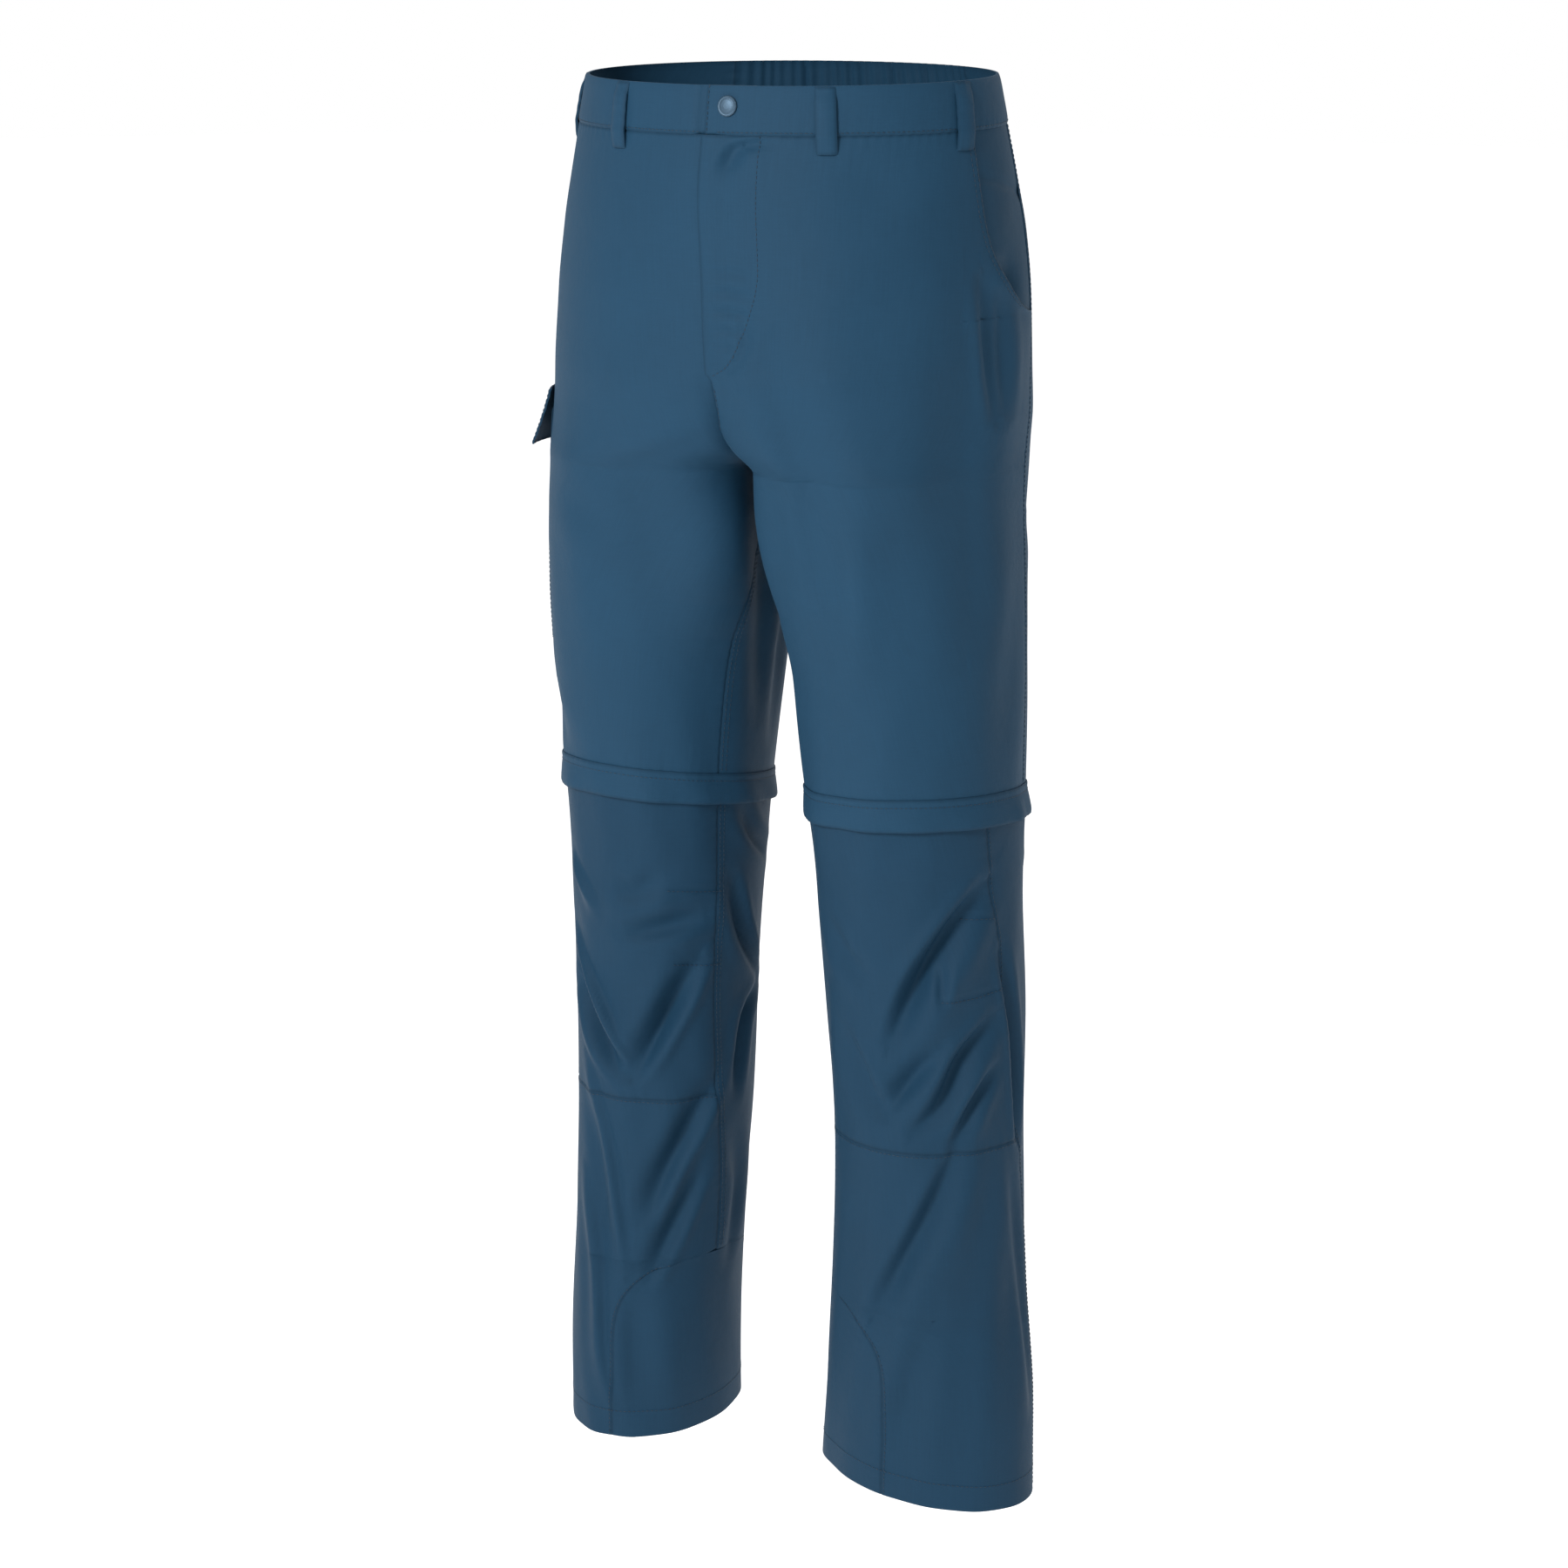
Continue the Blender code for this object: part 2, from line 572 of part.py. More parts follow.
def make_cargo_pocket():
    """A flat bag on the right thigh with a flap that springs away at its lower edge."""
    bag_rest = CLOTH + LAY_GAP
    panel("cargo_pocket_right", RIGHT, between(shorts_levels(RIGHT), *CARGO_LEVELS), lambda section: CARGO_ANGLES[0],
          lambda section: CARGO_ANGLES[1], 12, CLOTH_MATERIAL, lambda section, angle: bag_rest)

    def flap_lift(section, angle):
        share = (section.level - CARGO_FLAP_LEVELS[0]) / (CARGO_FLAP_LEVELS[1] - CARGO_FLAP_LEVELS[0])
        along = (angle - CARGO_FLAP_ANGLES[0]) / (CARGO_FLAP_ANGLES[1] - CARGO_FLAP_ANGLES[0])
        corner = 0.25 + 0.75 * (1.0 - smooth_step(along / 0.5)) + 0.35 * smooth_step((along - 0.6) / 0.4)
        return bag_rest + CLOTH + LAY_GAP + CARGO_FLAP_SPRING * corner * share ** 1.2

    panel("cargo_flap_right", RIGHT, even_levels(*CARGO_FLAP_LEVELS, 0.0108),
          lambda section: CARGO_FLAP_ANGLES[0], lambda section: CARGO_FLAP_ANGLES[1],
          10, CLOTH_MATERIAL, flap_lift)


def make_leg_zip(side):
    """The zip's tape, which joins the lower leg to the shorts, and the flap that covers it."""
    gap = SEAM_GAP / 2
    knee = KNEE_LEVEL[side]
    tape_levels = [knee - ZIP_HALF + SEAM_GAP, knee + ZIP_HALF - SEAM_GAP]
    flap_levels = [knee - KNEE_FLAP_REACH[0], knee + KNEE_FLAP_REACH[1]]
    panel(side_name("knee_zip", side), side, tape_levels, lambda section: 0.0, lambda section: 360.0,
          40, INSIDE_MATERIAL, lambda section, angle: -gap, LINING_CLOTH, closed=True)

    def flap_lift(section, angle):
        share = (section.level - flap_levels[0]) / (flap_levels[1] - flap_levels[0])
        return LAY_GAP + CLOTH + KNEE_FLAP_SPRING * smooth_step(share)

    panel(side_name("knee_flap", side), side, even_levels(*flap_levels, 0.0118), lambda section: 0.0,
          lambda section: 360.0, 40, CLOTH_MATERIAL, flap_lift, closed=True)


def make_lower_leg(side):
    """Knee and shin fronts, the back, and the inner ankle panel."""
    top = KNEE_LEVEL[side] + ZIP_HALF
    arch = [ARCH_TOP[side] + step for step in ARCH_ROWS]
    knee_levels = even_levels(top, SHIN_LEVEL - SEAM_GAP / 2, 0.0205)
    shin_levels = with_levels(even_levels(SHIN_LEVEL + SEAM_GAP / 2, HEM_LEVEL, 0.026), arch)
    ankle_levels = [level for level in shin_levels if level > ARCH_TOP[side]]
    back_levels = knee_levels[:-1] + [SHIN_LEVEL] + shin_levels[1:]

    def side_end(section):
        return lower_side_angle(section) - section.turn(SEAM_GAP / 2)

    panel(side_name("knee_front", side), side, knee_levels, lower_front_start, side_end, 14, LOWER_MATERIAL)
    panel(side_name("shin_front", side), side, shin_levels, lower_front_start, side_end, 12, LOWER_MATERIAL)
    panel(side_name("lower_back", side), side, back_levels,
          lambda section: lower_side_angle(section) + section.turn(SEAM_GAP / 2), lower_back_end,
          10, LOWER_MATERIAL)
    panel(side_name("ankle_panel", side), side, ankle_levels,
          lambda section: ARCH_CENTRE - arch_spread(section, SEAM_GAP),
          lambda section: ARCH_CENTRE + arch_spread(section, SEAM_GAP), 9, LOWER_MATERIAL)


clear_scene()
GARMENT = bpy.data.collections.new("hiking_trousers")
bpy.context.scene.collection.children.link(GARMENT)
CLOTH_MATERIAL = make_material("shell_cloth", CLOTH_COLOR, 0.62)
LOWER_MATERIAL = make_material("lower_cloth", LOWER_COLOR, 0.62)
INSIDE_MATERIAL = make_material("inside_cloth", INSIDE_COLOR, 0.70)
SNAP_MATERIAL = make_material("snap_metal", SNAP_COLOR, 0.35, 0.9)

make_waistband()
make_fly_facing()
make_snap()
for side in (LEFT, RIGHT):
    make_shorts(side)
    make_leg_zip(side)
    make_lower_leg(side)
    for number, angle in enumerate(LOOP_ANGLES, start=1):
        make_belt_loop(f"{side_name('belt_loop', side)}_{number}", side, angle)
make_belt_loop("belt_loop_back", LEFT, BACK_ANGLE)
make_cargo_pocket()
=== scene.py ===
# Hiking trousers with zip-off legs, in thin woven nylon, filled out as on a wearer.
# Metres, +Z up. The front faces -Y and the wearer's left is +X. The origin is the middle
# of the waist opening, level with the waistband's top edge. A place on the cloth is a
# side (LEFT or RIGHT), a level, which is the distance below that edge, and an angle round
# the leg in degrees: 0 faces the other leg, 90 forward, 180 outward and 270 back.
import math

import bmesh
import bpy
import numpy as np
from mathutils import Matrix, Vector


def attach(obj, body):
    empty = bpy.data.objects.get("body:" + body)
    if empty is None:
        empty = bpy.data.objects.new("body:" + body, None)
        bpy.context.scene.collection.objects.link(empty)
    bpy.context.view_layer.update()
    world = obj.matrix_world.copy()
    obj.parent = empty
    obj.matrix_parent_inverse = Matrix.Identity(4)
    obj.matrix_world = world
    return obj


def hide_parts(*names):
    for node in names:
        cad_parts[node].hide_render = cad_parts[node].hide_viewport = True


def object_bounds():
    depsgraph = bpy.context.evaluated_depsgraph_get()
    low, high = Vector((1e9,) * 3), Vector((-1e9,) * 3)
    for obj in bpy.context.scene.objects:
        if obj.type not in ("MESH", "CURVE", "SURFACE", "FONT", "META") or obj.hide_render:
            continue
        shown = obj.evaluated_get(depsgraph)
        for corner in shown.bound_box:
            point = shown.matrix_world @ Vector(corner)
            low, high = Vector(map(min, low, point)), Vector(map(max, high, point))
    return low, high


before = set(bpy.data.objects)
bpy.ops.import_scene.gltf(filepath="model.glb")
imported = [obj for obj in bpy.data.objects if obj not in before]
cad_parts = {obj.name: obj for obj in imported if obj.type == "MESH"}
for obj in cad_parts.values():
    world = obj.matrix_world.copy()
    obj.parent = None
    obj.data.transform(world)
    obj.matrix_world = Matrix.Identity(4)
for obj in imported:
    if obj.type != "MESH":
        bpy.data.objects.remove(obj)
CAD_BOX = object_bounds()


# Camera, floor and light. The trousers are seen from their left front, a little from
# above, in an even white studio with a large soft light to the left of the camera. Only
# the camera sees the white backdrop, which lies behind the far edge of the floor.
CAMERA_TURN = math.radians(29.0)
CAMERA_PITCH = math.radians(13.85)
CAMERA_PLACE = (1.2856, -2.3287, 0.118)
CAMERA_LENS = 81.66
FLOOR_DROP = 0.16
FLOOR_REACH = 18.0
FLOOR_GLOW = 0.6
BACKDROP_REACH = 20.0
WORLD_STRENGTH = 0.50
LIGHT_AIM = (0.0, 0.0, -0.5)
WHITE = (1.0, 1.0, 1.0, 1.0)
BLACK = (0.0, 0.0, 0.0, 1.0)

bpy.context.scene.view_settings.view_transform = "Standard"
camera_data = bpy.data.cameras.new("camera")
camera_data.lens = CAMERA_LENS
camera_data.sensor_width = 36.0
camera_data.clip_end = 120.0
camera = bpy.data.objects.new("camera", camera_data)
camera.location = CAMERA_PLACE
camera.rotation_euler = (math.pi / 2 - CAMERA_PITCH, 0.0, CAMERA_TURN)
bpy.context.scene.collection.objects.link(camera)
bpy.context.scene.camera = camera


class Value:
    """A shader value that Python's operators work on. Each adds the Math node it needs."""

    def __init__(self, finish, socket):
        self.finish = finish
        self.socket = socket

    def math(self, operation, *others):
        inputs = {0: self, **dict(enumerate(others, start=1))}
        return self.finish.node("ShaderNodeMath", {"operation": operation}, inputs)

    def __add__(self, other):
        return self.math("ADD", other)

    def __sub__(self, other):
        return self.math("SUBTRACT", other)

    def __rsub__(self, other):
        return self.finish.node("ShaderNodeMath", {"operation": "SUBTRACT"}, {0: other, 1: self})

    def __mul__(self, other):
        return self.math("MULTIPLY", other)

    __radd__ = __add__
    __rmul__ = __mul__


class Finish:
    """A material and its shader, with its other nodes made one way."""

    def __init__(self, name):
        self.material = bpy.data.materials.new(name)
        self.material.use_nodes = True
        self.tree = self.material.node_tree
        self.shader = self.tree.nodes["Principled BSDF"]

    def feed(self, socket, value):
        if isinstance(value, Value):
            self.tree.links.new(value.socket, socket)
        else:
            socket.default_value = value

    def node(self, kind, settings, inputs, output=0):
        made = self.tree.nodes.new(kind)
        for key, value in settings.items():
            setattr(made, key, value)
        for key, value in inputs.items():
            self.feed(made.inputs[key], value)
        return Value(self, made.outputs[output])

    def surface(self, **inputs):
        for key, value in inputs.items():
            self.feed(self.shader.inputs[key.replace("_", " ")], value)

    def noise(self, place, scale, detail):
        return self.node("ShaderNodeTexNoise", {}, {"Vector": place, "Scale": scale, "Detail": detail})

    def shade(self, color, amount):
        """A colour made lighter or darker by a value around 1."""
        return self.node("ShaderNodeMix", {"data_type": "RGBA", "blend_type": "MULTIPLY"},
                         {"Factor": 1.0, 6: color, 7: amount}, 2)


def add_light(name, place, aim, size, power):
    light = bpy.data.lights.new(name, "AREA")
    light.shape = "DISK"
    light.size = size
    light.energy = power
    thing = bpy.data.objects.new(name, light)
    thing.location = place
    thing.rotation_euler = (Vector(aim) - Vector(place)).to_track_quat("-Z", "Y").to_euler()
    bpy.context.scene.collection.objects.link(thing)


add_light("key", (-0.45, -3.2, 1.2), LIGHT_AIM, 1.1, 104.0)
add_light("back", (0.8, 2.6, 1.2), LIGHT_AIM, 1.8, 12.0)

world = bpy.data.worlds.new("studio")
world.use_nodes = True
world.node_tree.nodes["Background"].inputs["Color"].default_value = WHITE
world.node_tree.nodes["Background"].inputs["Strength"].default_value = WORLD_STRENGTH
bpy.context.scene.world = world

floor_finish = Finish("pale_floor")
floor_finish.surface(Base_Color=(0.93, 0.93, 0.93, 1.0), Roughness=0.9,
                     Emission_Color=WHITE, Emission_Strength=FLOOR_GLOW)
floor_level = CAD_BOX[0][2] - FLOOR_DROP
floor_mesh = bpy.data.meshes.new("floor")
floor_mesh.from_pydata([(x * FLOOR_REACH, y * FLOOR_REACH, floor_level)
                        for x, y in ((-1, -1), (1, -1), (1, 1), (-1, 1))], [], [(0, 1, 2, 3)])
floor_mesh.materials.append(floor_finish.material)
floor = bpy.data.objects.new("floor", floor_mesh)
bpy.context.scene.collection.objects.link(floor)

backdrop_finish = Finish("white_backdrop")
backdrop_finish.surface(Base_Color=BLACK, Roughness=1.0, Specular_IOR_Level=0.0,
                        Emission_Color=WHITE, Emission_Strength=1.0)
backdrop_form = bmesh.new()
bmesh.ops.create_icosphere(backdrop_form, subdivisions=3, radius=BACKDROP_REACH)
backdrop_mesh = bpy.data.meshes.new("backdrop")
backdrop_form.to_mesh(backdrop_mesh)
backdrop_form.free()
backdrop_mesh.materials.append(backdrop_finish.material)
backdrop = bpy.data.objects.new("backdrop", backdrop_mesh)
bpy.context.scene.collection.objects.link(backdrop)
backdrop.visible_diffuse = False
backdrop.visible_glossy = False
backdrop.visible_transmission = False
backdrop.visible_shadow = False


# The cloth's form. Each leg, with its half of the pelvis, is a column of ellipses that
# tip and drift with the pose. The cloth lies on it with the folds that the pose makes: a
# ridge and drag lines at the fork, and deep diagonal folds round the knees and shins.
LEFT = 1
RIGHT = -1
FORK_LEVEL = 0.283
PELVIS_SECTIONS = (
    # level, outer, inner, front, back, pitch, roll
    (0.000, 0.1600, -0.1600, -0.115, 0.115, -0.036, 0.0),
    (0.035, 0.1670, -0.1670, -0.120, 0.121, -0.030, 0.0),
    (0.070, 0.1735, -0.1710, -0.126, 0.130, -0.018, 0.0),
    (0.110, 0.1800, -0.1680, -0.132, 0.136, 0.0, 0.0),
    (0.160, 0.1845, -0.1500, -0.137, 0.138, 0.0, 0.0),
    (0.205, 0.1860, -0.1130, -0.136, 0.135, 0.0, 0.0),
    (0.240, 0.1860, -0.0680, -0.130, 0.129, 0.0, 0.0),
    (0.265, 0.1850, -0.0280, -0.126, 0.120, 0.0, 0.0),
    (0.283, 0.1845, 0.0003, -0.123, 0.113, 0.0, 0.0),
)
LEG_SECTIONS = {
    LEFT: (
        # level, outer, inner, front, back, pitch, roll
        (0.320, 0.1850, 0.0035, -0.117, 0.108, 0.0, 0.0),
        (0.360, 0.1870, 0.0065, -0.111, 0.104, 0.01, 0.0),
        (0.400, 0.1880, 0.0120, -0.106, 0.101, 0.03, -0.01),
        (0.440, 0.1890, 0.0200, -0.102, 0.098, 0.05, -0.03),
        (0.520, 0.1920, 0.0300, -0.097, 0.085, 0.07, -0.05),
        (0.600, 0.1935, 0.0400, -0.0895, 0.0745, 0.05, -0.03),
        (0.700, 0.1990, 0.0485, -0.085, 0.067, 0.0, 0.0),
        (0.800, 0.2010, 0.0560, -0.083, 0.061, 0.0, 0.0),
        (0.900, 0.2060, 0.0540, -0.081, 0.055, 0.0, 0.03),
        (1.000, 0.2165, 0.0490, -0.080, 0.050, 0.0, 0.08),
        (1.070, 0.2180, 0.0460, -0.080, 0.050, 0.0, 0.10),
    ),
    RIGHT: (
        # level, outer, inner, front, back, pitch, roll
        (0.320, 0.1880, 0.0035, -0.117, 0.108, 0.0, 0.0),
        (0.360, 0.1915, 0.0065, -0.111, 0.104, 0.03, 0.0),
        (0.400, 0.1925, 0.0120, -0.106, 0.102, 0.06, -0.01),
        (0.440, 0.1920, 0.0190, -0.101, 0.100, 0.09, -0.02),
        (0.520, 0.1860, 0.0260, -0.094, 0.088, 0.15, -0.03),
        (0.600, 0.1810, 0.0320, -0.086, 0.080, 0.09, -0.02),
        (0.700, 0.1805, 0.0395, -0.0785, 0.0755, 0.0, 0.0),
        (0.800, 0.1815, 0.0440, -0.0745, 0.0755, 0.0, 0.0),
        (0.900, 0.1860, 0.0535, -0.073, 0.077, 0.0, 0.0),
        (1.000, 0.1895, 0.0600, -0.077, 0.081, 0.0, 0.0),
        (1.070, 0.1905, 0.0610, -0.079, 0.083, -0.05, 0.0),
    ),
}
CENTRE_DRIFT = (
    # level, drift towards the wearer's left
    (0.000, 0.0),
    (0.060, 0.0),
    (0.160, 0.009),
    (0.230, 0.009),
    (0.283, 0.004),
    (0.360, 0.0),
    (1.070, 0.0),
)
FOLD_DEGREE = 0.00135
FOLD_CREST = 0.26
FORK_RIDGE = (((84, 0.235), (62, 0.262), (46, 0.288), (42, 0.330), (46, 0.390)), 0.0250, -0.0120, 0.0)
FOLDS = {
    LEFT: (
        # line through places (angle, level), width, depth, lean
        (((155, 0.588), (131, 0.624), (110, 0.662), (96, 0.702)), 0.0090, 0.0152, 0.35),
        (((130, 0.644), (126, 0.672)), 0.0039, 0.0048, 0.0),
        (((159, 0.686), (137, 0.714), (122, 0.750), (108, 0.772)), 0.0073, 0.0103, 0.30),
        (((158, 0.726), (145, 0.748), (131, 0.780)), 0.0056, 0.0076, 0.25),
        (((124, 0.706), (104, 0.736), (90, 0.758)), 0.0082, 0.0090, -0.20),
        (((136, 0.782), (109, 0.850), (91, 0.894), (80, 0.922)), 0.0096, 0.0094, 0.35),
        (((113, 0.930), (102, 0.966), (90, 1.034)), 0.0119, 0.0050, 0.20),
        (((62, 0.700), (76, 0.732), (90, 0.768)), 0.0103, 0.0062, -0.30),
        (((52, 0.618), (66, 0.640), (84, 0.658)), 0.0095, 0.0048, 0.0),
        (((168, 0.640), (176, 0.710), (183, 0.790)), 0.0052, 0.0090, 0.20),
        (((172, 0.800), (186, 0.900), (190, 1.000)), 0.0075, 0.0030, 0.0),
        (((140, 0.880), (128, 0.960), (120, 1.050)), 0.0150, 0.0030, 0.0),
        (((164, 0.138), (166, 0.185), (168, 0.240)), 0.0050, 0.0062, 0.3),
        (((172, 0.150), (173, 0.185), (174, 0.235)), 0.0046, 0.0052, 0.2),
        (((99, 0.185), (92, 0.234), (84, 0.266), (77, 0.300), (82, 0.370)), 0.0110, 0.0050, 0.30),
        (((90, 0.310), (92, 0.360), (93, 0.410)), 0.0080, 0.0018, 0.0),
        (((156, 0.186), (154, 0.286), (151, 0.400)), 0.0190, 0.0042, -0.30),
        (((118, 0.300), (122, 0.380), (120, 0.470)), 0.0170, 0.0022, 0.0),
        (((136, 0.050), (132, 0.085), (120, 0.110)), 0.0120, 0.0016, 0.0),
        (((106, 0.039), (98, 0.043), (94.5, 0.062)), 0.0034, 0.0042, 0.30),
        FORK_RIDGE,
        (((87, 0.136), (92, 0.133), (98, 0.135)), 0.0030, 0.0011, 0.0),
        (((86, 0.149), (91, 0.147), (97, 0.150)), 0.0028, 0.0014, 0.0),
        (((85, 0.162), (90, 0.161), (95, 0.163)), 0.0028, 0.0015, 0.0),
        (((83, 0.175), (88, 0.174), (93, 0.176)), 0.0026, 0.0014, 0.0),
        (((82, 0.187), (86, 0.186), (90, 0.187)), 0.0024, 0.0012, 0.0),
        (((94, 0.160), (92, 0.180), (86, 0.197), (77, 0.207)), 0.0022, 0.0016, 0.2),
        (((144, 0.611), (153, 0.611), (162, 0.612)), 0.0018, 0.0009, 0.0),
        (((126, 0.668), (144, 0.668), (168, 0.665)), 0.0018, 0.0009, 0.0),
        (((225, 0.596), (262, 0.622), (302, 0.664)), 0.0095, 0.0110, 0.25),
        (((314, 0.684), (280, 0.706), (240, 0.744)), 0.0086, 0.0103, -0.25),
        (((228, 0.836), (262, 0.804), (302, 0.786)), 0.0119, 0.0065, 0.20),
        (((212, 0.560), (235, 0.575), (262, 0.572)), 0.0069, 0.0055, 0.0),
        (((225, 0.930), (262, 0.900), (290, 0.905)), 0.0140, 0.0040, 0.0),
        (((215, 0.322), (255, 0.340), (302, 0.346)), 0.0160, 0.0065, 0.25),
        (((222, 0.380), (262, 0.392), (300, 0.380)), 0.0160, 0.0038, 0.0),
        (((330, 0.300), (318, 0.350), (300, 0.420)), 0.0120, 0.0045, 0.0),
    ),
    RIGHT: (
        # line through places (angle, level), width, depth, lean
        (((134, 0.604), (120, 0.620), (106, 0.640)), 0.0052, -0.0041, 0.30),
        (((133, 0.662), (107, 0.702), (84, 0.756)), 0.0053, -0.0058, 0.40),
        (((128, 0.700), (108, 0.742), (88, 0.768)), 0.0090, 0.0131, -0.25),
        (((38, 0.676), (62, 0.732), (78, 0.766)), 0.0090, 0.0138, 0.30),
        (((36, 0.640), (60, 0.648), (84, 0.654)), 0.0077, 0.0069, 0.20),
        (((60, 0.606), (78, 0.622), (92, 0.618)), 0.0086, 0.0041, 0.0),
        (((26, 0.778), (50, 0.836), (66, 0.886)), 0.0091, 0.0099, 0.30),
        (((32, 0.852), (47, 0.898), (64, 0.944)), 0.0086, 0.0074, 0.30),
        (((120, 0.764), (96, 0.838), (79, 0.934)), 0.0065, -0.0048, 0.40),
        (((120, 0.860), (102, 0.940), (95, 1.010), (85, 1.050)), 0.0065, -0.0045, 0.35),
        (((73, 0.945), (70, 1.000), (68, 1.058)), 0.0140, 0.0040, -0.30),
        (((112, 0.800), (104, 0.860), (96, 0.930)), 0.0107, 0.0035, 0.0),
        (((16, 0.612), (4, 0.655), (-20, 0.700)), 0.0065, 0.0090, 0.25),
        (((-20, 0.712), (-2, 0.734), (6, 0.790)), 0.0065, 0.0083, 0.0),
        (((12, 0.556), (-2, 0.580), (-26, 0.600)), 0.0065, 0.0069, 0.0),
        (((6, 0.830), (-6, 0.880), (2, 0.940)), 0.0086, 0.0040, 0.0),
        (((100, 0.292), (74, 0.276), (60, 0.254)), 0.0120, 0.0022, 0.20),
        FORK_RIDGE,
        (((44, 0.296), (33, 0.340), (33, 0.420)), 0.0240, -0.0080, 0.0),
        (((73, 0.212), (63, 0.236), (47, 0.259), (22, 0.280)), 0.0046, 0.0046, 0.0),
        (((118, 0.300), (100, 0.318), (84, 0.322)), 0.0140, 0.0020, 0.0),
        (((20, 0.330), (8, 0.400), (2, 0.480)), 0.0090, 0.0045, 0.0),
        (((-8, 0.330), (-14, 0.400), (-12, 0.500)), 0.0080, 0.0040, 0.0),
        (((148, 0.470), (140, 0.500), (126, 0.522)), 0.0130, 0.0030, 0.0),
        (((58, 0.617), (40, 0.618), (25, 0.619)), 0.0018, 0.0009, 0.0),
        (((54, 0.674), (40, 0.677), (24, 0.678)), 0.0018, 0.0009, 0.0),
        (((232, 0.606), (262, 0.628), (298, 0.664)), 0.0095, 0.0110, 0.25),
        (((304, 0.694), (270, 0.716), (230, 0.748)), 0.0086, 0.0097, -0.25),
        (((212, 0.856), (250, 0.824), (292, 0.798)), 0.0119, 0.0065, 0.20),
        (((214, 0.566), (240, 0.580), (268, 0.576)), 0.0069, 0.0055, 0.0),
        (((236, 0.940), (262, 0.912), (296, 0.920)), 0.0140, 0.0040, 0.0),
        (((238, 0.332), (270, 0.346), (306, 0.350)), 0.0160, 0.0060, 0.25),
        (((230, 0.386), (262, 0.396), (302, 0.386)), 0.0160, 0.0034, 0.0),
        (((328, 0.300), (316, 0.350), (302, 0.420)), 0.0120, 0.0045, 0.0),
    ),
}
RIPPLE_SEED = 11
RIPPLE_HEIGHT = 0.00040


def smooth_step(value):
    value = np.clip(value, 0.0, 1.0)
    return value * value * (3.0 - 2.0 * value)


def read_table(rows, level):
    """Every column of a table at each level, along smooth curves without overshoot."""
    rows = np.array(rows, dtype=float)
    marks, values = rows[:, 0], rows[:, 1:]
    level = np.clip(np.asarray(level, dtype=float), marks[0], marks[-1])
    span = np.diff(marks)
    slope = np.diff(values, axis=0) / span[:, None]
    before, after = slope[:-1], slope[1:]
    same_way = before * after > 0.0
    middle = np.where(same_way, 2 * before * after / np.where(same_way, before + after, 1.0), 0.0)
    tangent = np.vstack([slope[:1], middle, slope[-1:]])
    here = np.clip(np.searchsorted(marks, level, side="right") - 1, 0, len(marks) - 2)
    t = ((level - marks[here]) / span[here])[..., None]
    width = span[here][..., None]
    found = ((1 + 2 * t) * (1 - t) ** 2 * values[here] + t * (1 - t) ** 2 * width * tangent[here]
             + t * t * (3 - 2 * t) * values[here + 1] + t * t * (t - 1) * width * tangent[here + 1])
    return np.moveaxis(found, -1, 0)


def ellipse(side, level):
    """The section at a level: middle and half sizes across and along, reach, pitch, roll."""
    outer, inner, front, back, pitch, roll = read_table(PELVIS_SECTIONS + LEG_SECTIONS[side], level)
    return ((outer + inner) / 2, (front + back) / 2, (outer - inner) / 2, (back - front) / 2,
            outer, pitch, roll)


def turn(side, level, length):
    """Degrees that a length of cloth takes up."""
    _, _, half_across, half_along, _, _, _ = ellipse(side, level)
    return np.degrees(length / ((half_across + half_along) / 2))


def angle_at(side, level, across):
    """The angle on the front where the section is this far outward from the middle."""
    middle, _, half_across, _, _, _, _ = ellipse(side, level)
    return np.degrees(np.arccos(np.clip((middle - across) / half_across, -1.0, 1.0)))


def across_at(side, angle, level):
    """How far outward from the middle the section is at an angle."""
    middle, _, half_across, _, _, _, _ = ellipse(side, level)
    return middle - half_across * np.cos(np.radians(angle))


